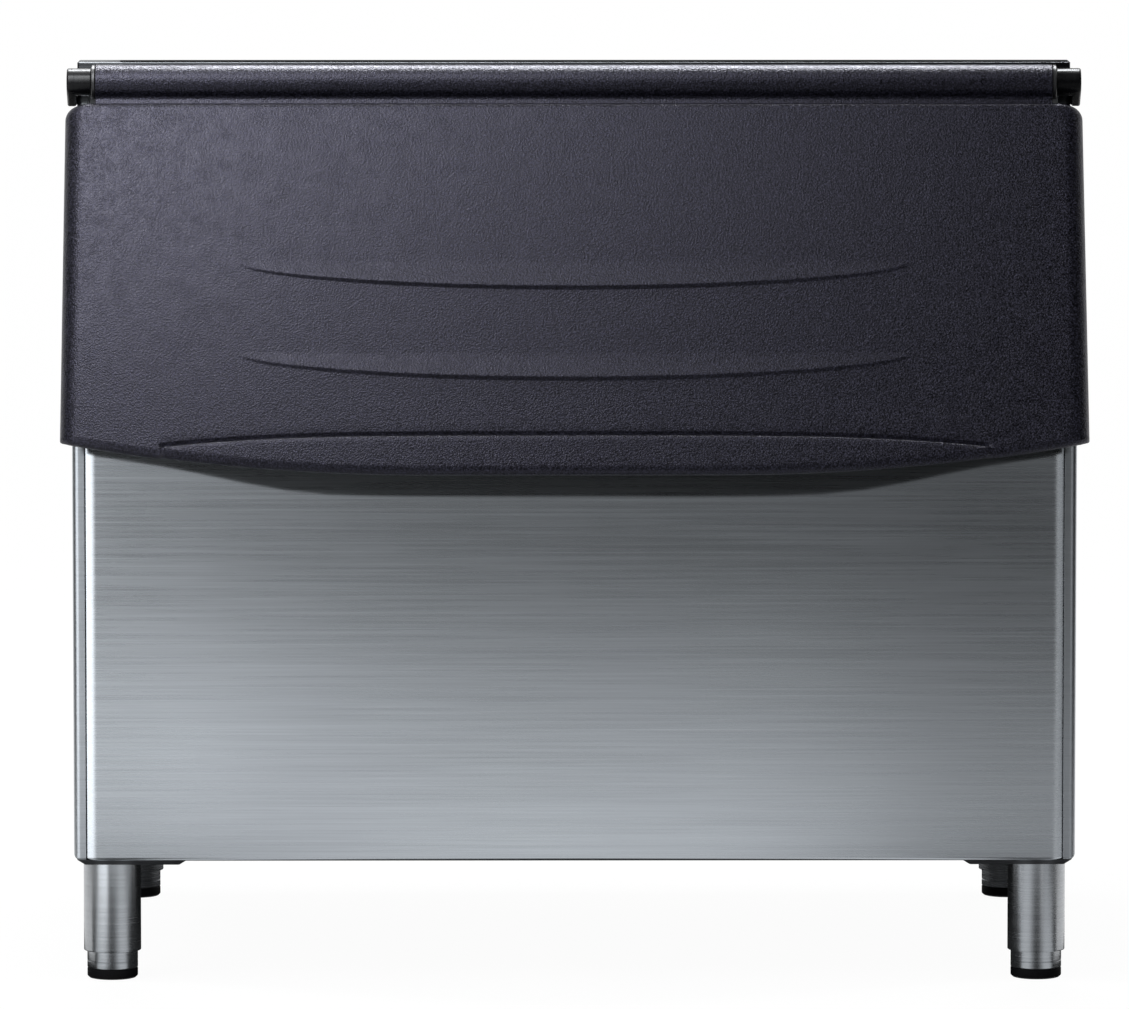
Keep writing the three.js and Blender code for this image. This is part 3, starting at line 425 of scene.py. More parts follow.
class Finish(Shading):
    """A material, with the CAD material slot that it stands for."""

    def __init__(self, name, slot, colour, roughness, metallic=0.0, **fixed):
        self.slot = slot
        self.material = bpy.data.materials.new(name)
        super().__init__(self.material)
        self.shader = self.tree.nodes["Principled BSDF"]
        self.paint(base_color=colour, roughness=roughness, metallic=metallic, **fixed)

    def height(self, value, depth):
        """Relief on the surface, its depth in metres."""
        relief = self.node("ShaderNodeBump", None, {"Height": value, "Distance": depth, "Strength": 1.0})
        self.feed(self.shader.inputs["Normal"], relief)

    def paint(self, **inputs):
        for key, value in inputs.items():
            self.feed(self.shader.inputs[key.replace("_", " ").title().replace("Ior", "IOR")], value)


def linear(*colour):
    """A colour of 0 to 255 steps as the shader wants it."""
    return tuple(c / 255 / 12.92 if c / 255 <= 0.04045 else ((c / 255 + 0.055) / 1.055) ** 2.4 for c in colour)


def shaded(tone, share, added=0.0):
    """A tone made darker or lighter."""
    return tuple(c * share + added for c in tone)


def brushed_steel(name, tone=(0.5, 0.525, 0.55), strokes_run=(1, 0, 0), base_roughness=0.27):
    """Steel brushed in fine short strokes, with faint bands and handling marks."""
    steel = Finish(name, "brushed_steel", tone, base_roughness, 1.0)
    stretched = lambda long, short: tuple(long if run else short for run in strokes_run)
    strokes = steel.noise(stretched(3.5, 420), 3, 0.7)
    hairs = steel.noise(stretched(5, 1100), 2, 0.6)
    bands = steel.noise(stretched(1.1, 90), 3, 0.6)
    hazy = steel.noise(4, 4, 0.6)
    gloss = steel.ramp(strokes * 0.6 + hazy * 0.4, 0.3, 0.7, base_roughness - 0.04, base_roughness + 0.06)
    streak = steel.ramp(strokes * 0.5 + hairs * 0.35 + bands * 0.15, 0.28, 0.72, 0.0, 1.0)
    colour = steel.mixed(streak, shaded(tone, 0.78), shaded(tone, 1.16))
    colour = steel.mixed(steel.ramp(hazy, 0.4, 0.8, 0.0, 0.16), colour, (0.47, 0.47, 0.53))
    steel.paint(base_color=colour, roughness=gloss)
    steel.height(strokes * 0.6 + hairs * 0.4, 0.00002)
    return steel


def plain_steel(name):
    """Milled sheet: soft spangle and rolling lines."""
    tone, roughness = (0.5, 0.51, 0.53), 0.42
    steel = Finish(name, "plain_steel", tone, roughness, 1.0)
    spangle = steel.cells(90, "SMOOTH_F1")
    rolled = steel.noise((4, 220, 220), 3)
    steel.paint(base_color=steel.mixed(steel.ramp(spangle, 0.1, 0.7, 0, 1), tone, shaded(tone, 0.82)),
                roughness=steel.ramp(rolled + spangle * 0.4, 0.3, 1.0, roughness - 0.08, roughness + 0.12))
    steel.height(rolled, 0.00003)
    return steel


def turned_steel(name):
    """Bright steel with the fine rings of a lathe and light handling marks."""
    steel = Finish(name, "plain_steel", (0.58, 0.59, 0.61), 0.28, 1.0)
    rings = steel.noise((700, 30, 30), 3)
    marks = steel.noise(60, 5, 0.7)
    steel.paint(base_color=steel.mixed(steel.ramp(marks, 0.4, 0.7, 0, 1), (0.6, 0.61, 0.63), (0.46, 0.47, 0.49)),
                roughness=steel.ramp(rings, 0.3, 0.7, 0.2, 0.36))
    steel.height(rings, 0.00002)
    return steel


def grained_lid(name):
    """Moulded charcoal plastic with a leather-like grain of small, uneven pebbles, and glints painted into its colour.
    """
    dark, light = linear(3, 3, 5), linear(60, 60, 76)
    plastic = Finish(name, "lid_plastic", dark, 0.5, 0.0, specular_ior_level=0.3, specular_tint=(0.84, 0.81, 1.0))
    domes = plastic.ramp(plastic.cells(430), 0.1, 0.75, 1.0, 0.0, smooth=True)
    fine = plastic.noise(480, 2, 0.7)
    uneven = plastic.noise(55, 3)
    cloudy = plastic.noise(2.2, 4, 0.55)
    # Painted glints: light flecks from the fine noise, and lighter tops of the pebbles.
    tone = plastic.mixed(plastic.ramp(fine, 0.46, 0.68, 0.0, 0.8) + domes * 0.1, dark, light)
    tone = plastic.mixed(plastic.ramp(cloudy, 0.35, 0.7, 0.0, 0.25), tone, linear(24, 24, 32))
    relief = domes * plastic.ramp(uneven, 0.3, 0.7, 0.6, 1.0) + fine * 0.35
    plastic.paint(base_color=tone, roughness=plastic.ramp(fine + uneven * 0.3, 0.4, 0.9, 0.24, 0.5))
    plastic.height(relief, 0.0003)
    return plastic


def smooth_plastic(name, slot, tone, roughness, coat=0.0, grain=500, relief=0.00004, **fixed):
    """Moulded plastic with a faint orange peel and small cloudy differences."""
    plastic = Finish(name, slot, tone, roughness, 0.0, coat_roughness=0.12, **fixed)
    cloudy = plastic.noise(9, 4, 0.6)
    scuffs = plastic.noise((40, 120, 40), 5, 0.75)
    plastic.paint(base_color=plastic.mixed(plastic.ramp(cloudy, 0.35, 0.75, 0, 0.6), tone, shaded(tone, 0.86)),
                  roughness=plastic.ramp(scuffs, 0.35, 0.7, roughness - 0.04, roughness + 0.1),
                  coat_weight=coat)
    plastic.height(plastic.noise(grain), relief)
    return plastic


def moulded_rubber(name, slot, tone):
    """Dull rubber with a fine grit and dusty patches."""
    rubber = Finish(name, slot, tone, 0.7, specular_ior_level=0.12)
    grit = rubber.noise(700, 4, 0.7)
    dusty = rubber.noise(35, 5, 0.7)
    rubber.paint(base_color=rubber.mixed(rubber.ramp(dusty, 0.5, 0.8, 0, 0.5), tone, shaded(tone, 2, 0.004)),
                 roughness=rubber.ramp(grit, 0.3, 0.7, 0.6, 0.8))
    rubber.height(grit, 0.00012)
    return rubber


def painted_steel(name):
    """Dark sprayed steel with a fine texture."""
    tone = (0.03, 0.032, 0.036)
    paint = Finish(name, "dark_steel", tone, 0.42)
    spray = paint.noise(800, 3, 0.6)
    worn = paint.noise(30, 5, 0.7)
    paint.paint(base_color=paint.mixed(paint.ramp(worn, 0.45, 0.8, 0, 0.6), tone, (0.075, 0.08, 0.088)),
                roughness=paint.ramp(spray, 0.3, 0.7, 0.32, 0.5))
    paint.height(spray, 0.00008)
    return paint


def rigid_foam(name):
    """Yellowed foam with open bubbles."""
    foam = Finish(name, "foam", (0.72, 0.62, 0.36), 0.95)
    bubbles = foam.cells(900)
    skin = foam.noise(40, 4)
    patches = foam.ramp(bubbles + skin * 0.4, 0.1, 1.0, 0, 1)
    foam.paint(base_color=foam.mixed(patches, (0.78, 0.68, 0.42), (0.5, 0.4, 0.2)),
               roughness=foam.ramp(bubbles, 0, 1, 0.85, 1.0))
    foam.height(bubbles, 0.0006)
    return foam


steel = brushed_steel("brushed_steel_along_the_front")
# Painted shade: the sides' steel is darker than the front's, so that the strip beside the front panel shows no bright
# highlight; its rougher brushing is the steel's own.
side_steel_with_painted_shade = brushed_steel("brushed_steel_along_the_sides_with_painted_shade", (0.26, 0.27, 0.28), (1, 1, 0), 0.48)
leg_steel = brushed_steel("brushed_steel_round_the_legs", (0.4, 0.415, 0.43), (1, 1, 0), 0.24)
rim_steel = brushed_steel("brushed_steel_of_the_side_rims", (0.4, 0.42, 0.44), base_roughness=0.36)
# Painted shade: the rail's steel gets a near-black tone so that the rail looks as dark as in shade.
rail_steel_painted_dark_as_shade = brushed_steel("brushed_steel_of_the_rail_painted_dark_as_shade", (0.1, 0.105, 0.11), base_roughness=0.16)
sheet_steel = plain_steel("milled_sheet_steel")
bright_steel = turned_steel("turned_steel")
lid_plastic = grained_lid("charcoal_grained_plastic")
black = (0.003, 0.003, 0.004)
gloss_black = smooth_plastic("gloss_black_plastic", "gloss_black", black, 0.26,
                             relief=0.00002, specular_ior_level=0.2)
white_liner = smooth_plastic("white_moulded_liner", "liner", linear(232, 235, 236), 0.32, coat=0.25, grain=350)
grey_plastic = smooth_plastic("grey_moulded_plastic", "grey_plastic", linear(176, 179, 183), 0.42, grain=600)
dark_nylon = smooth_plastic("dark_nylon", "nylon", (0.02, 0.02, 0.022), 0.35, grain=700)
black_rubber = moulded_rubber("black_rubber", "rubber", black)
grey_seal = moulded_rubber("grey_door_seal", "seal", linear(88, 90, 94))
dark_paint = painted_steel("dark_sprayed_steel")
foam = rigid_foam("rigid_foam")


# Cabinet

def side_panels():
    """Folded trays whose front rims show beside the front panel."""
    back, step = BACK - FRONT, RAIL_BACK + GAP
    corners = [(0, LEG_TOP), (back, LEG_TOP), (back, PANEL_TOP), (step, PANEL_TOP), (step, RAIL_SEAT),
               ((RAIL_SEAT - KNEE_Z) * math.tan(SLOPE), RAIL_SEAT), (0, KNEE_Z)]
    outline = Outline(corners, [3, 3, 3, 3, 1, 2, 12], 4)
    for side, word in SIDES:
        sheet = tray(outline, RIM, 8, lambda u, v, w: Vector((side * (HALF_WIDTH - w), FRONT + u, v)), 8)
        item = piece(f"side_sheet_{word}", sheet, side_steel_with_painted_shade, f"side_panel_{word}")
        item.data.materials.append(rim_steel.material)
        for face in item.data.polygons:
            face.material_index = int(face.normal.y < -0.1)


def front_panel():
    """A sheet folded back at its bottom, its two sides and the sill under the lid."""
    tight, knee = 3.0, 8.0
    top = Vector((SILL * math.sin(SLOPE), KNEE_Z + SILL * math.cos(SLOPE)))
    path = [Vector((RIM, LEG_TOP)), Vector((0, LEG_TOP)), Vector((0, KNEE_Z)), top,
            top + RIM * Vector((math.cos(SLOPE), -math.sin(SLOPE)))]
    line = [path[0], *round_corner(*path[0:3], tight, 5), *round_corner(*path[1:4], knee, 6),
            *round_corner(*path[2:5], tight, 5), path[4]]
    inward = []
    for i, here in enumerate(line):
        a = (here - line[i - 1]).normalized() if i else (line[1] - here).normalized()
        b = (line[i + 1] - here).normalized() if i + 1 < len(line) else a
        inward.append(Vector((a.y + b.y, -a.x - b.x)) / (1 + a.dot(b)))
    # from the middle out: flat, a wide soft bend, a tight one, then back along the rim
    wide, soft = 34.0, math.radians(21)
    flat_end = PANEL_HALF - tight - (wide - tight) * math.sin(soft)
    lift = (wide - tight) * (1 - math.cos(soft))
    out = [(wide * (1 - math.cos(t)), flat_end + wide * math.sin(t)) for t in evenly(0, soft, 8)[:-1]]
    out += [(lift + tight * (1 - math.cos(t)), PANEL_HALF - tight * (1 - math.sin(t)))
            for t in evenly(soft, math.pi / 2, 6)]
    out += [(RIM, PANEL_HALF)]
    columns = [(depth, -x) for depth, x in reversed(out)] + [(0, x) for x in (-400, -200, 0, 200, 400)] + out
    mesh = bmesh.new()
    bridged(mesh, [[mesh.verts.new((x, FRONT + p.x + way.x * depth, p.y + way.y * depth))
                    for p, way in zip(line, inward)] for depth, x in columns])
    item = piece("front_sheet", facing_out(mesh), steel, "front_panel", smooth_to=40)
    thick = item.modifiers.new("thickness", "SOLIDIFY")
    thick.thickness = SKIN / 1000
    thick.offset = -1 if item.data.polygons[len(item.data.polygons) // 2].normal.y < 0 else 1


def back_and_base():
    back = tray(field(PANEL_HALF, LEG_TOP, PANEL_TOP, 3, 3), RIM, 3, lambda u, v, w: Vector((u, BACK - w, v)))
    piece("back_sheet", back, sheet_steel, "back_panel")
    edge = RIM + GAP
    base = tray(field(PANEL_HALF - GAP, FRONT + edge, BACK - edge, 3, 3), RIM, 3, upright(z=LEG_TOP))
    piece("base_sheet", base, sheet_steel, "base_pan")


def rail():
    """A folded cap whose rear rim reaches down to the deck."""
    back = FRONT + RAIL_BACK
    cap = tray(field(HALF_WIDTH, FRONT + RAIL_FRONT, back, 3, 4), RAIL_DEEP, 0.9,
               lambda u, v, w: Vector((u, v, TOP - w)))
    rear = layered(field(PANEL_HALF - GAP, back - SKIN, back),
                   [(0.2, DECK + GAP), (0, DECK + 0.6), (0, RAIL_SEAT + 2)], upright())
    piece("top_rail_sheet", combined(cap, [rear], "UNION"), rail_steel_painted_dark_as_shade, "top_rail")


def tub_form(wall, floor, top, over):
    """The tub's outside or its cavity: a section from side to side, within a plan with rounded corners."""
    half, back, face = HALF_WIDTH - wall, BACK - FRONT - wall, RAIL_FRONT + wall
    bottom, fall, cove, bend, plan_corner = LEG_TOP + floor, 8, 25, 20, 95 - wall
    knee = KNEE_Z - wall * math.tan(SLOPE / 2)
    shoulder = knee + (face - wall) / math.tan(SLOPE)
    section = [(wall, bottom + fall), (back, bottom), (back, top), (face, top), (face, shoulder), (wall, knee)]
    body = layered(Outline(section, [cove, cove, 0, 0, bend, bend], 8), [(0, -half), (0, half)], across(y=FRONT))
    plan = layered(field(half, FRONT + wall, BACK - wall, plan_corner, 10), [(0, 0), (0, over)], upright())
    return combined(body, [plan], "INTERSECT")


def liner():
    """A moulded tub with a deck flange, a doorway and a sump for the drain."""
    rail_back, drain = FRONT + RAIL_BACK, upright(y=DRAIN_Y)
    flange = layered(field(HALF_WIDTH - GAP, rail_back + GAP, BACK - GAP, 3, 4),
                     above(DECK, (1.2, -4), (0, -3), (0, -1), (0.3, -0.3), (1, 0)), upright())
    body = combined(tub_form(50, 50, TOP, TOP + 1), [flange, rod(47, 195, 215, drain, 48)], "UNION")
    past, over = HALF_WIDTH + 10, TOP + 9
    body = combined(body, [
        tub_form(54, 58, TOP + 5, over),
        layered(field(past, FRONT, rail_back + GAP), [(0, RAIL_SEAT), (0, over)], upright()),
        layered(field(past, rail_back - SKIN - GAP, BACK + 9), [(0, DECK), (0, over)], upright()),
        layered(field(DOOR_HALF + 4.3, -DOOR_BOTTOM - 4.34, 4.3 - DOOR_TOP, 10, 5), [(0, -84), (0, 5)], slope_plan),
        turned([(0, 204.9), (36, 204.9), (42, 210), (42, 260), (0, 260)], drain),
        rod(18.3, 150, 230, drain, 48),
        *[rod(4.3, 550, 570, baffle_axis(side), 24) for side, word in SIDES]])
    piece("liner_moulding", body, white_liner, "liner_tub", smooth_to=38)


def door_frame():
    """A plate that closes the foam round the doorway, with a collar through it and a rounded mouth."""
    back, seat = -SLOPE_BEHIND - 4, -SLOPE_BEHIND - 2
    sheet = plate(field(PANEL_HALF - GAP, SILL + GAP - KNEE_DOWN, 8, 3, 4), back, -SLOPE_BEHIND, slope_plan)
    collar = layered(door_outline(4, 13, 5), [(0, -78), (0, seat)], slope_plan)
    mouth = [(0, -90), (0, seat), *[(-2 * (1 - math.cos(t)), seat + 2 * math.sin(t)) for t in (0.4, 0.8, 1.2, 1.5708)],
             (-2, 5)]
    body = combined(combined(sheet, [collar], "UNION"), [layered(door_outline(0, 10, 6), mouth, slope_plan)])
    piece("doorway_frame", body, grey_plastic, "door_frame", smooth_to=35)


# Lid, in the frame of the slope

LID_HALF = HALF_WIDTH + 12.7
LID_TOP = 34.0
LID_BOTTOM = KNEE_DOWN + 87
LID_FACE = 21.5
LID_BACK = 8 - SLOPE_BEHIND
LID_WALL = 3.5
SIDE_ROUND, TOP_ROUND, BOTTOM_ROUND = 24.0, 8.0, 10.0
TOP_CORNER, BOTTOM_CORNER = 17.0, 9.0
INSIDE_HALF = LID_HALF - SIDE_ROUND - LID_WALL
UNDERSIDE_RISE = 12.0
RIDGES = [LID_TOP + (LID_BOTTOM - LID_TOP) * share for share in (0.431, 0.675)]
RIDGE_HALF, RIDGE_PROUD = LID_HALF * 0.652, 4.5
# from a ridge's soft top to past its sharp step: share of its width, distance past that, share of its height
RIDGE_STEPS = [(0, -12, 0), (0, 0, 0), (0.1, 0, 0.03), (0.2, 0, 0.09), (0.35, 0, 0.22), (0.5, 0, 0.38),
               (0.65, 0, 0.56), (0.8, 0, 0.75), (0.92, 0, 0.92), (1, 0, 0.98), (1, 1, 0.93), (1, 2, 0.7),
               (1, 2.8, 0.35), (1, 3.6, 0.12), (1, 4.8, 0), (0, 60, 0)]
LIP_HALF, LIP_PROUD = LID_HALF * 0.808, 3.9
# from above the lip's groove to the lip: distance past its top line, how proud
LIP_STEPS = [(-14, 0), (-4.5, 0), (-3.2, -0.9), (-1.6, -2.4), (0, -3.0), (1.2, -1.6), (2.2, 1.2), (3.2, 2.6),
             (4.6, 3.3), (7, 3.8), (10, LIP_PROUD)]


def lid_edge(x):
    """How far down the slope the lid's bottom edge lies."""
    flat, end_rise = LID_HALF * 0.29, 42
    share = max(0.0, abs(x) - flat) / (LID_HALF - flat)
    return LID_BOTTOM - end_rise * share ** 2


def ridge_share(x):
    share = abs(x) / RIDGE_HALF
    return (1 - share ** 2) ** 0.6 if share < 1 else 0.0


def smooth_step(value):
    value = min(max(value, 0.0), 1.0)
    return value * value * (3 - 2 * value)


def lip_share(x):
    return smooth_step((LIP_HALF - abs(x)) / 6)


def lip_top(x):
    """The lip's top line, which comes down towards its ends."""
    height, end_fall = 51, 15.5
    line = LID_BOTTOM - height + end_fall * (abs(x) / LIP_HALF) ** 4
    return min(line, lid_edge(x) - BOTTOM_ROUND - 4)


def lid_rows():
    """Rows of the face from its top down: (how far down and how proud at x, how far corners draw it in)."""
    rows = []

    def add(line, from_end=TOP_CORNER, corner=TOP_CORNER):
        inner = max(0.0, corner - from_end)
        rows.append((line, corner - math.sqrt(corner ** 2 - inner ** 2)))
    for d, fall in quarter(TOP_ROUND, 7) + [(d, 0) for d in (10, 12.5, 15, TOP_CORNER, 40, 80, 120, 160)]:
        add(lambda x, d=d, fall=fall: (LID_TOP + d, -fall), d)
    for top in RIDGES:
        for share, past, rise in RIDGE_STEPS:
            add(lambda x, top=top, share=share, past=past, rise=rise:
                (top + share * (2.5 + 31 * ridge_share(x)) + past, rise * RIDGE_PROUD * ridge_share(x)))
    for past, proud in LIP_STEPS:
        add(lambda x, past=past, proud=proud:
            (min(lip_top(x) + past, lid_edge(x) - BOTTOM_ROUND - 1 + past * 0.05), proud * lip_share(x)))
    for share in (0.35, 0.7):
        add(lambda x, share=share: ((1 - share) * min(lip_top(x) + 10, lid_edge(x) - BOTTOM_ROUND - 0.5)
                                    + share * (lid_edge(x) - BOTTOM_ROUND), LIP_PROUD * lip_share(x)))
    for up, fall in reversed(quarter(BOTTOM_ROUND, 7)):
        add(lambda x, up=up, fall=fall: (lid_edge(x) - up, LIP_PROUD * lip_share(x) - fall), up, BOTTOM_CORNER)
    return rows


def lid_columns():
    """Places across a row: (share of the row, distance in from its edge, fall at the edge)."""
    shares = evenly(0, 1, 46)
    for mark in (RIDGE_HALF, LIP_HALF, LIP_HALF - 6, LIP_HALF - 3, RIDGE_HALF - 5, RIDGE_HALF - 15):
        shares += [(mark + d) / (LID_HALF - SIDE_ROUND) for d in (-4, 0, 4)]
    shares = sorted({round(s, 4) for s in shares if 0 < s < 1})
    right = [(s, SIDE_ROUND, 0.0) for s in shares]
    right += [(1.0, inward, fall) for inward, fall in reversed(quarter(SIDE_ROUND, 10))]
    return [(-s, d, f) for s, d, f in reversed(right)] + [(0.0, SIDE_ROUND, 0.0)] + right


def lid_face():
    """The lid's face with its four walls, closed at the back."""
    rows, columns = lid_rows(), lid_columns()
    mesh = bmesh.new()

    def corner(row, column, wall=False):
        (line, drawn_in), (share, from_edge, fall) = row, column
        edge = LID_HALF - drawn_in
        x = share * (edge - SIDE_ROUND) if abs(share) < 1 else math.copysign(edge - from_edge, share)
        down, proud = line(x)
        out = LID_BACK if wall else LID_FACE + proud - fall
        raised = max(0.0, (LID_FACE - BOTTOM_ROUND - out) / (LID_FACE - BOTTOM_ROUND - LID_BACK))
        return mesh.verts.new(on_slope(x, min(down, lid_edge(x) - UNDERSIDE_RISE * raised), out))
    grid = [[corner(row, column) for column in columns] for row in rows]
    top = [corner(rows[0], column, True) for column in columns]
    bottom = [corner(rows[-1], column, True) for column in columns]
    left, right = [[top[end]] + [corner(row, columns[end], True) for row in rows[1:-1]] + [bottom[end]]
                   for end in (0, -1)]
    for strip in (grid, (top, grid[0]), (grid[-1], bottom), ([row[0] for row in grid], left),
                  ([row[-1] for row in grid], right)):
        bridged(mesh, strip)
    mesh.faces.new(bottom + right[1:-1][::-1] + top[::-1] + left[1:-1])
    bmesh.ops.remove_doubles(mesh, verts=mesh.verts, dist=0.002)
    return facing_out(mesh)


def lid_roll():
    """The roll round the hinge line, with a hollow curve where its neck meets the face."""
    radius, reach, fillet, neck, half = 21.5, 10.0, 6.0, 50.0, 586.0
    down = math.sqrt((radius + fillet) ** 2 - reach ** 2)
    touch = math.atan2(down, reach)
    start = math.atan2(math.sqrt(radius ** 2 - LID_BACK ** 2), LID_BACK)
    section = [(LID_BACK, neck), *arc(radius, start, touch + 2 * math.pi, 56),
               *[(reach + x, down + y) for x, y in arc(fillet, touch + math.pi, math.pi, 8)[1:]], (4, neck)]
    ends = above(-half, (0.8, 0), (0.25, 0.3), (0, 0.9)) + above(half, (0, -0.9), (0.25, -0.3), (0.8, 0))
    return layered(section, ends, lambda u, v, w: on_slope(w, v, u))


def lid_shell():
    """The lid's moulding: face and roll, hollowed for the foam, the hinge pins and the fingers."""
    body = combined(lid_face(), [lid_roll()], "UNION")
    bore = rod(10.6, -640, 640, lambda u, v, w: on_slope(w, u, v), 40)
    hollow = layered(field(INSIDE_HALF, -KNEE_DOWN, -LID_TOP - TOP_ROUND, 10, 5),
                     [(0, LID_BACK - 5), (0, LID_FACE - LID_WALL)], slope_plan)
    half = LID_HALF - 62
    outline = [(x, 14 - lid_edge(x)) for x in evenly(-half, half, 48)]
    outline += [(half, -KNEE_DOWN - 10), (-half, -KNEE_DOWN - 10)]
    pocket = layered(outline, above(LID_BACK, (-1.5, -3), (-1.5, 0), (-0.5, 0.5), (0, 1.5), (0, 13), (0.9, 15.1),
                                    (3, 16)), slope_plan)
    piece("lid_moulding", combined(body, [bore, hollow, pocket]), lid_plastic, "lid_outer_shell", "lid", 38)


def lid_inside():
    """A sheet behind the lid's foam, with a plug that reaches into the doorway."""
    sheet = plate(field(INSIDE_HALF - GAP, GAP - KNEE_DOWN, -LID_TOP - TOP_ROUND - GAP, 10, 5),
                  LID_BACK, LID_BACK + 4, slope_plan, 0.8)
    sides = rim(10, LID_BACK - 24, -1, 8)[::-1] + above(LID_BACK, (0, -4), (-0.3, -2.5), (-1.2, -1), (-3, 0.2), (-3, 2))
    plug = layered(door_outline(-PLUG_GAP, 12, 8), sides, slope_plan)
    press = layered(field(DOOR_HALF - PLUG_GAP - 40, PLUG_GAP + 36 - DOOR_BOTTOM, -DOOR_TOP - PLUG_GAP - 36, 18, 6),
                    above(LID_BACK, (3, -21.5), (1, -22), (0, -23), (-0.8, -24), (-0.8, -26)), slope_plan)
    body = combined(combined(sheet, [plug], "UNION"), [press])
    piece("lid_inner_moulding", body, white_liner, "lid_inner_panel", "lid", 35)


def seal():
    """A soft seal: two ribs on a flat foot, run round the plug."""
    section = [(16.5, -16.3), (16, -17.2), (16.4, -19.6), (17.6, -22.4), (19.2, -23.5), (21, -23), (22, -21),
               (22.6, -19.4), (25.4, -19.4), (26, -21), (27, -23), (28.8, -23.5), (30.4, -22.4), (31.6, -19.6),
               (32, -17.2), (31.5, -16.3)]
    mesh = bmesh.new()
    outline = door_outline(-PLUG_GAP, 16, 8)
    rings = [[mesh.verts.new(slope_plan(p.x, p.y, out)) for p in outline.ring(-wide)] for wide, out in section]
    bridged(mesh, rings + rings[:1], closed=True)
    piece("lid_seal", facing_out(mesh), grey_seal, "lid_gasket", "lid", 50)


# Hinges: heights run across the bin and are counted from the ear's outer face

def hinge_pieces():
    face, radius, bend = HALF_WIDTH + 11, 17, 10
    for side, word in SIDES:
        place = across(side, HINGE_Y, HINGE_Z)
        front, low, back, crown = Vector((10, -30)), Vector((88, -30)), Vector((88, 0)), Vector((0, radius))
        outline = [front, *round_corner(front, low, back, bend, 8), *round_corner(low, back, crown, bend, 8),
                   *arc(radius, math.pi / 2, 1.25 * math.pi, 24)]
        ear = plate(outline, HALF_WIDTH + GAP, face + GAP, place, 2.5, 5)
        knuckle = turned(above(face, (0, -29.5), (15.6, -29.5), (16.6, -29.1), (radius, -28.1), (radius, -9), (0, -9)),
                         place)
        screws = [across(side, HINGE_Y + along, HINGE_Z - 15) for along in (44, 70)]
        sinks = [rod(6.3, face - 41, face + 9, place, 40),
                 turned(above(face, (0, -3.1), (8.8, -3.1), (8.8, -0.4), (9.6, 0.4), (9.6, 9), (0, 9)), place, 48)]
        sinks += [turned(above(face, (0, -21), (2.8, -21), (2.8, -3.3), (5.3, -3.3), (5.3, -0.2), (6, 0.4), (6, 9),
                               (0, 9)), where, 32) for where in screws]
        ear = combined(combined(ear, [knuckle], "UNION"), sinks)
        piece(f"hinge_ear_{word}", ear, gloss_black, f"hinge_bracket_{word}", smooth_to=35)
        pin = above(face, (0, -74.5), (5, -74.5), (6, -73.5), (6, -2.5), (8.5, -2.5), (8.5, -0.8), (7.6, 0), (0, 0))
        socket = layered(circle(3.2, 6), [(0, face - 1.8), (0, face + 9)], place)
        pin = combined(turned(softened(pin, 0.5), place, 48), [socket])
        piece(f"hinge_pin_turned_{word}", pin, bright_steel, f"hinge_pin_{word}")
        for i, where in enumerate(screws, 1):
            screw = turned(above(face, (0, -27), (0.6, -27), (2.4, -23), (2.4, -3), (5, -3), (4.9, -2.1), (4.1, -0.9),
                                 (2.6, -0.2), (0, 0)), where, 32)
            cross = [layered(field(a, -b, b), [(0.2, face - 1.7), (0, face + 9)], where)
                     for a, b in ((2.6, 0.45), (0.45, 2.6))]
            piece(f"hinge_screw_head_{word}_{i}", combined(screw, cross), bright_steel, f"hinge_screw_{word}_{i}")
        bush = above(face, (6.5, -74.7), (10.2, -74.7), (10.2, -34.7), (19.8, -34.7), (21, -33.7), (21, -30.8),
                     (19.8, -29.8), (6.5, -29.8))
        piece(f"hinge_bush_ring_{word}", turned_ring(bush, place), dark_nylon, f"hinge_bush_{word}", "lid")


# Baffle

def baffle_pieces():
    """A sheet with rolled hems and two ears that hang on pegs."""
    half, top, bottom, hole = 542.0, 12.0, -203.0, 4.5
    sheet = plate(field(half, bottom, top), -1, 1, lambda u, v, w: Vector((u, BAFFLE_Y + w, BAFFLE_Z + v)), 0.3, 2)
    hem = above(-half, (3, 0), (4.6, 0), (5, 0.4)) + above(half, (5, -0.4), (4.6, 0), (3, 0))
    hems = [turned_ring(hem, baffle_axis(up=middle), 32) for middle in (top, bottom)]
    peg = above(half, (0, -1.4), (3.4, -1.4), (4, -0.8), (4, 10.7), (10.2, 10.7), (11, 11.4), (11, 13.7), (4, 13.7),
                (4, 22), (0, 22))
    holes, ears = [], []
    for place in (baffle_axis(-1), baffle_axis(1)):
        ear = plate(field(12, -12, 12, 5, 5), half - 2, half, place, 0.4, 2)
        ears.append(combined(ear, [rod(hole, half - 6, half + 6, place, 32)]))
        holes.append(rod(hole, half - 1.7, half + 6, place, 32))
    body = joined(combined(sheet, holes), *hems, *ears)
    piece("baffle_sheet", body, steel, "ice_baffle", "baffle", 35)
    for side, word in SIDES:
        piece(f"baffle_peg_turned_{word}", turned(peg, baffle_axis(side), 40), bright_steel, f"baffle_peg_{word}")


# Drain

def grooves(radius, depth, start, count):
    """A turned profile's points along a screw thread."""
    return [(r, start + i * 2.4 + up) for i in range(count) for r, up in ((radius, 0), (radius - depth, 1.2))]


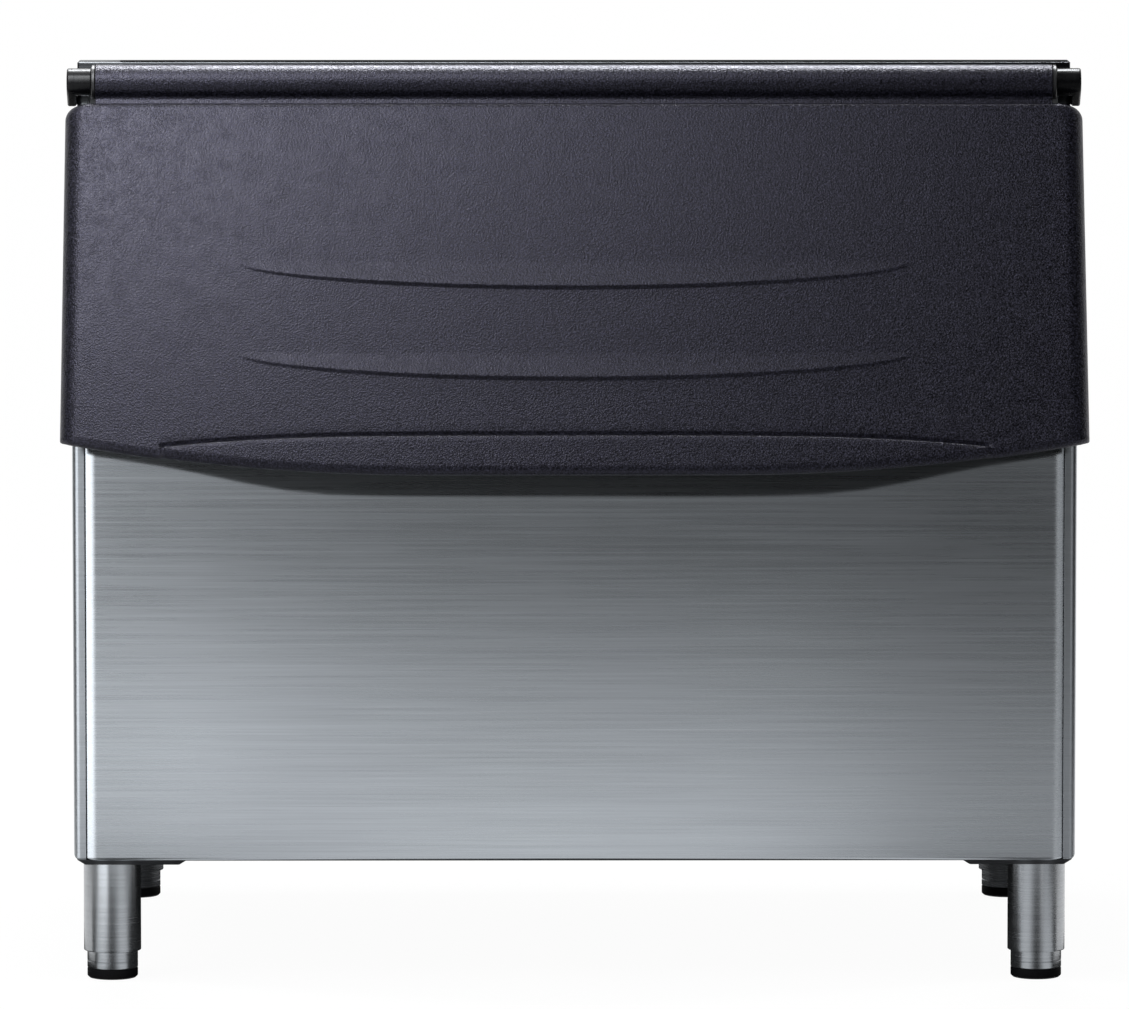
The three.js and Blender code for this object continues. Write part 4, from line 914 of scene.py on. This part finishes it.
def drain_pieces():
    place = upright(y=DRAIN_Y)
    tail, top = span("drain_fitting")
    fitting = above(tail, (13, 0.6), (13.6, 0), (16.6, 0), (17.4, 1), (17.4, 8), (18, 9), *grooves(18, 0.8, 14, 10),
                    (18, 40))
    fitting += above(top, (18, -4), (34.4, -4), (35, -3.4), (35, -2), (33, 0), (14, 0), (13, -1))
    piece("drain_fitting_turned", turned_ring(fitting, place), grey_plastic, "drain_fitting", smooth_to=50)
    low, high = span("drain_locknut")
    nut = layered(circle(29, 6, math.pi / 2), [(1.5, low), (0, low + 1.5), (0, high - 1.5), (1.5, high)], place)
    hole = turned([(0, low - 5), (20, low - 5), (18.3, low + 1.5), (18.3, high + 5), (0, high + 5)], place, 48)
    piece("drain_nut", combined(nut, [hole]), grey_plastic, "drain_locknut")
    low, cap = span("drain_strainer")
    strainer = above(top + GAP, (0, 0), (10.7, 0)) + above(low, (10.7, 0.4), (11.2, 0), (12.2, 0), (12.7, 0.5))
    strainer += above(top + GAP, (12.7, 0), (19.5, 0), (20, 0.6), (19, 1.4)) + [(12, cap - 0.1), (0, cap)]
    holes = [rod(2.5, 150, 240, upright(x, DRAIN_Y + y), 24) for x, y in circle(7.9, 6)]
    piece("drain_strainer_disc", combined(turned(strainer, place), holes), grey_plastic, "drain_strainer")


# Legs

def leg_pieces():
    cap = 144.5
    pad = [(0, 0.4), (18, 0.4), (20, 0), (27.2, 0), (28.4, 0.3), (30.8, 2.6), (31, 3.4), (31, 11.2), (30.6, 11.9),
           (29.8, 12.2), (10.4, 12.2), (10, 12.6), (10, 15.4), (9.6, 15.9), (0, 15.9)]
    for corner, (x, y) in LEGS.items():
        place = upright(x, y)
        (left, right), (front, back), (base, top) = [span(f"leg_plate_{corner}", axis) for axis in range(3)]
        outline = Outline([(left, front), (right, front), (right, back), (left, back)], 12, 6)
        bevel = above(base, (11, 0), (9.6, 0.3)) + above(top, (1, -1.6), (0.1, -0.7), (0, 0))
        flange = layered(outline, bevel, upright())
        piece(f"leg_flange_{corner}", flange, dark_paint, f"leg_plate_{corner}", smooth_to=25)
        tube = above(span(f"leg_tube_{corner}")[0], (0, 60), (32, 60), (32, 0.4), (32.4, 0), (34.2, 0), (34.8, 0.4),
                     (35, 1.2))
        tube += above(cap, (35, -1.4), (34.6, -0.4), (33.6, 0), (8, 0), (8, 21), (7, 22), (0, 22))
        piece(f"leg_column_{corner}", turned(tube, place, 80), leg_steel, f"leg_tube_{corner}")
        sleeve = above(span(f"foot_sleeve_{corner}")[0], (0, 4), (10.5, 4), (10.5, 0), (29.6, 0), (30.6, 0.4),
                       (31, 1.2), (31, 8.2), (30.5, 8.6), (30.5, 9.2), (31, 9.6), (31, 64.6), (30.2, 65.4),
                       (28, 65.4), (28, 7), (8, 7), *grooves(8, 0.9, 16, 38), (7, 107), (6, 108), (0, 108))
        sleeve = turned(sleeve, place, 80)
        piece(f"foot_sleeve_turned_{corner}", sleeve, leg_steel, f"foot_sleeve_{corner}", f"sleeve_{corner}", 30)
        foot = turned(pad, place, 80)
        piece(f"foot_pad_moulded_{corner}", foot, black_rubber, f"foot_pad_{corner}", f"pad_{corner}", 30)


def hidden_pieces():
    """CAD pieces that stay as they are, hidden inside, with their own finish."""
    finishes = {"cabinet_foam": foam, "lid_foam": foam, "drain_gasket": black_rubber,
                **{f"leg_socket_{corner}": bright_steel for corner in LEGS}}
    for name, finish in finishes.items():
        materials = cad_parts[name].data.materials
        materials.clear()
        materials.append(finish.material)


# Stage, in metres

class Sheet(Shading):
    """A flat sheet of the stage."""

    def __init__(self, name, corners):
        mesh = bpy.data.meshes.new(name)
        mesh.from_pydata(corners, [], [range(len(corners))])
        self.item = shown(name, mesh)
        material = bpy.data.materials.new(name)
        mesh.materials.append(material)
        super().__init__(material)

    def covered_by(self, shader):
        self.feed(self.tree.nodes["Material Output"].inputs["Surface"], shader)


class Cloth(Sheet):
    """A sheet that only gloss sees."""

    def __init__(self, name, corners):
        super().__init__(name, corners)
        item = self.item
        item.visible_camera = item.visible_diffuse = item.visible_shadow = item.visible_transmission = False

    def shines(self, level):
        self.covered_by(self.node("ShaderNodeEmission", None, {"Color": (0.95, 0.975, 1.0), "Strength": level}))


def hung(name, low, high):
    """An upright cloth between two of its corners."""
    return Cloth(name, [low, (high[0], high[1], low[2]), high, (low[0], low[1], high[2])])


def laid(name, x0, y0, x1, y1, z, kind=Cloth):
    """A level sheet."""
    return kind(name, [(x0, y0, z), (x1, y0, z), (x1, y1, z), (x0, y1, z)])


def stage():
    """A pale floor that looks white and keeps a light shadow."""
    pale = laid("floor", -45, -45, 45, 45, 0, Sheet)
    shader = pale.tree.nodes["Principled BSDF"]
    pale.feed(shader.inputs["Base Color"], (0.35, 0.35, 0.35))
    pale.feed(shader.inputs["Roughness"], 0.8)
    white = pale.node("ShaderNodeEmission", None, {"Color": (1, 1, 1), "Strength": 1.13})
    lit = Link(pale, shader.outputs[0])
    pale.covered_by(pale.node("ShaderNodeMixShader", None, {0: pale.seen_direct() * 0.85, 1: lit, 2: white}))


def bands_for_legs(cloth, ahead):
    """Light and dark wedges that spread from the front legs, as a cloth's level."""
    spread = abs(abs(cloth.along("X")) - LEG_X / 1000) / ahead
    cloth.shines(cloth.steps(spread / 5, (0, 0.05), (0.03, 0.1), (0.12, 0.9), (0.3, 0.9), (0.5, 0.1), (1, 0.04)))


def scrim():
    """The cloths: graded ones in front of the bin, bright and dark ones round and above it, and dark ones under it that
    paint the shade under the bin.
    """
    front, left, right, far_right, low, top = FRONT / 1000 - 0.6, -1.6, 1.25, 2.4, 1.0, 3.4
    back, deck, legs, bin_half = BACK / 1000, 1.13, FRONT / 1000 + 0.06, 0.74
    bands_for_legs(hung("scrim_for_legs", (-bin_half, front, 0), (bin_half, front, 0.055)), legs - front)
    cloth = laid("floor_cloth_for_legs", -1.3, front, 1.3, legs - 0.04, 0.002)
    bands_for_legs(cloth, legs - cloth.along("Y"))
    # Painted shade: a dark cloth on the floor under the bin, seen only in gloss.
    laid("dark_cloth_under_the_bin", -bin_half, legs - 0.04, bin_half, 0.75, 0.002).shines(0.03)
    cloth = hung("low_scrim", (-0.72, front, 0.055), (0.8, front, low))
    x, z = cloth.along("X"), cloth.along("Z")
    rise = cloth.steps(z, (0, 1.0), (0.095, 0.87), (0.13, 0.76), (0.187, 0.66), (0.3, 0.43), (0.42, 0.2), (0.5, 0.12),
                       (0.58, 0.14), (0.68, 0.34), (1, 0.4))
    across_it = cloth.steps((x + 0.6) / 1.2, (0, 0.7), (0.08, 0.93), (0.17, 0.73), (0.33, 0.61), (0.5, 0.55),
                            (0.71, 0.5), (0.87, 0.35), (1, 0.27))
    tilt = cloth.ramp(x, 0, 0.8, 0, 0.8) * cloth.ramp(z, 0, 0.25, 0.25, 0) \
        + cloth.ramp(x, -0.72, 0, -0.72, 0) * cloth.ramp(z, 0, 0.45, 0.25, -0.2)
    cloth.shines(rise * across_it * (tilt * 2.7 + 1) * 2)
    hung("bright_cloth_left", (-1.5, front, 0), (-0.76, front, low)).shines(2.4)
    hung("bright_cloth_right", (0.84, front, 0), (right, front, low)).shines(0.5)
    # Painted shade: a low black cloth under the bin that darkens the rear legs' reflections.
    hung("black_flag_painting_the_shade_under_the_bin", (-0.66, 0, 0.002), (0.66, 0, 0.14)).shines(0.01)
    cloth = hung("high_scrim", (left, front, low), (right, front, top))
    stops = ((-1.05, 0.01), (-0.95, 0.8), (-0.8, 0.8), (-0.7, 0.5), (-0.35, 0.27), (0, 0.14), (0.3, 0.075),
             (0.6, 0.002))
    wide = right - left
    across_it = cloth.steps((cloth.along("X") - left) / wide, *[((x - left) / wide, level) for x, level in stops])
    rise = cloth.steps((cloth.along("Z") - low) / (top - low), (0, 0.0), (0.1, 0.1), (0.2, 0.36), (0.3, 0.68),
                       (0.4, 0.93), (0.5, 1.0), (0.6, 0.3), (0.7, 0.02))
    cloth.shines(across_it * rise * 34 + 0.004)
    hung("dark_cloth_right", (right, front, 0), (far_right, 0.4, top)).shines(0.02)
    hung("dark_cloth_right_behind", (0.63, back + 0.02, 0), (0.8, back + 0.02, deck)).shines(0.05)
    hung("dark_cloth_left", (left, front, 0), (-2.3, 0.4, 2.0)).shines(0.04)
    cloth = hung("dark_cloth_behind", (-1.3, back + 1.2, deck), (1.3, back + 1.2, 1.75))
    cloth.shines(cloth.ramp(cloth.along("X"), -0.75, -0.55, 0.7, 0.03))
    laid("dark_cloth_above", left, front, far_right, 0.1, top).shines(0.05)
    laid("bright_cloth_above", -1.0, 0.7, 1.0, 1.7, top).shines(38.0)
    behind, over = (FRONT + RAIL_BACK + 10) / 1000, TOP / 1000
    hung("black_flag_behind_the_rail", (-0.56, behind, over + 0.001), (0.61, behind, over + 0.12)).shines(0.005)


def flag_painting_the_lid_shadow():
    """A black cloth, seen only in gloss, that paints the lid's shadow as a dark band on the top of the front panel, and
    follows the lid.
    """
    half, y, foot = 600, FRONT - 9, 680
    lower = lambda x: on_slope(0, lid_edge(x), LID_BACK).z - 18 * smooth_step((530 - abs(x)) / 230) - 2
    outline = [(x, y, lower(x)) for x in evenly(-half, half, 24)] + [(half, y, foot), (-half, y, foot)]
    cloth = Cloth("black_flag_below_the_lid", [Vector(p) / 1000 for p in outline])
    cloth.shines(0.004)
    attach(cloth.item, "lid")


def lamp(name, place, target, size, power):
    light = bpy.data.lights.new(name, "AREA")
    light.shape = "RECTANGLE"
    light.size, light.size_y = size
    light.energy = power
    item = shown(name, light)
    item.location = place
    item.rotation_euler = (Vector(target) - Vector(place)).to_track_quat("-Z", "Y").to_euler()
    item.visible_camera = False


def lights():
    lamp("softbox_high_left", (-2.6, -2.2, 2.6), (-0.2, -0.2, 0.7), (1.6, 1.6), 35)
    lamp("softbox_top", (-0.6, 0.2, 3.3), (0, 0, 1.0), (2.6, 1.6), 25)
    lamp("softbox_right", (3.4, -1.2, 2.0), (0.2, 0, 0.6), (1.2, 1.6), 1.5)
    lamp("softbox_behind", (-0.8, 3.4, 2.4), (0, 0.4, 0.6), (2.0, 1.4), 8)
    world = bpy.data.worlds.new("studio")
    bpy.context.scene.world = world
    air = Shading(world)
    background = air.tree.nodes["Background"]
    air.feed(background.inputs["Color"], (1, 1, 1))
    air.feed(background.inputs["Strength"], air.ramp(air.seen_direct(), 0, 1, 0.5, 1.0))


def camera():
    """Far away with a long lens, as fitted to the photograph, whose frame is 1129 pixels wide."""
    focal_pixels, frame_pixels, sensor = 9360, 1129, 36
    data = bpy.data.cameras.new("camera")
    data.sensor_width = sensor
    data.lens = sensor * focal_pixels / frame_pixels
    data.clip_end = 200
    item = shown("camera", data)
    item.location = (-0.066, FRONT / 1000 - 11.3086, 1.6991)
    item.rotation_euler = (math.radians(90 - 5.614), 0, math.radians(-0.2716))
    bpy.context.scene.camera = item


camera()
stage()
scrim()
flag_painting_the_lid_shadow()
lights()
side_panels()
front_panel()
back_and_base()
rail()
liner()
door_frame()
lid_shell()
lid_inside()
seal()
hinge_pieces()
baffle_pieces()
drain_pieces()
leg_pieces()
hidden_pieces()
bpy.context.scene.view_settings.view_transform = "Standard"
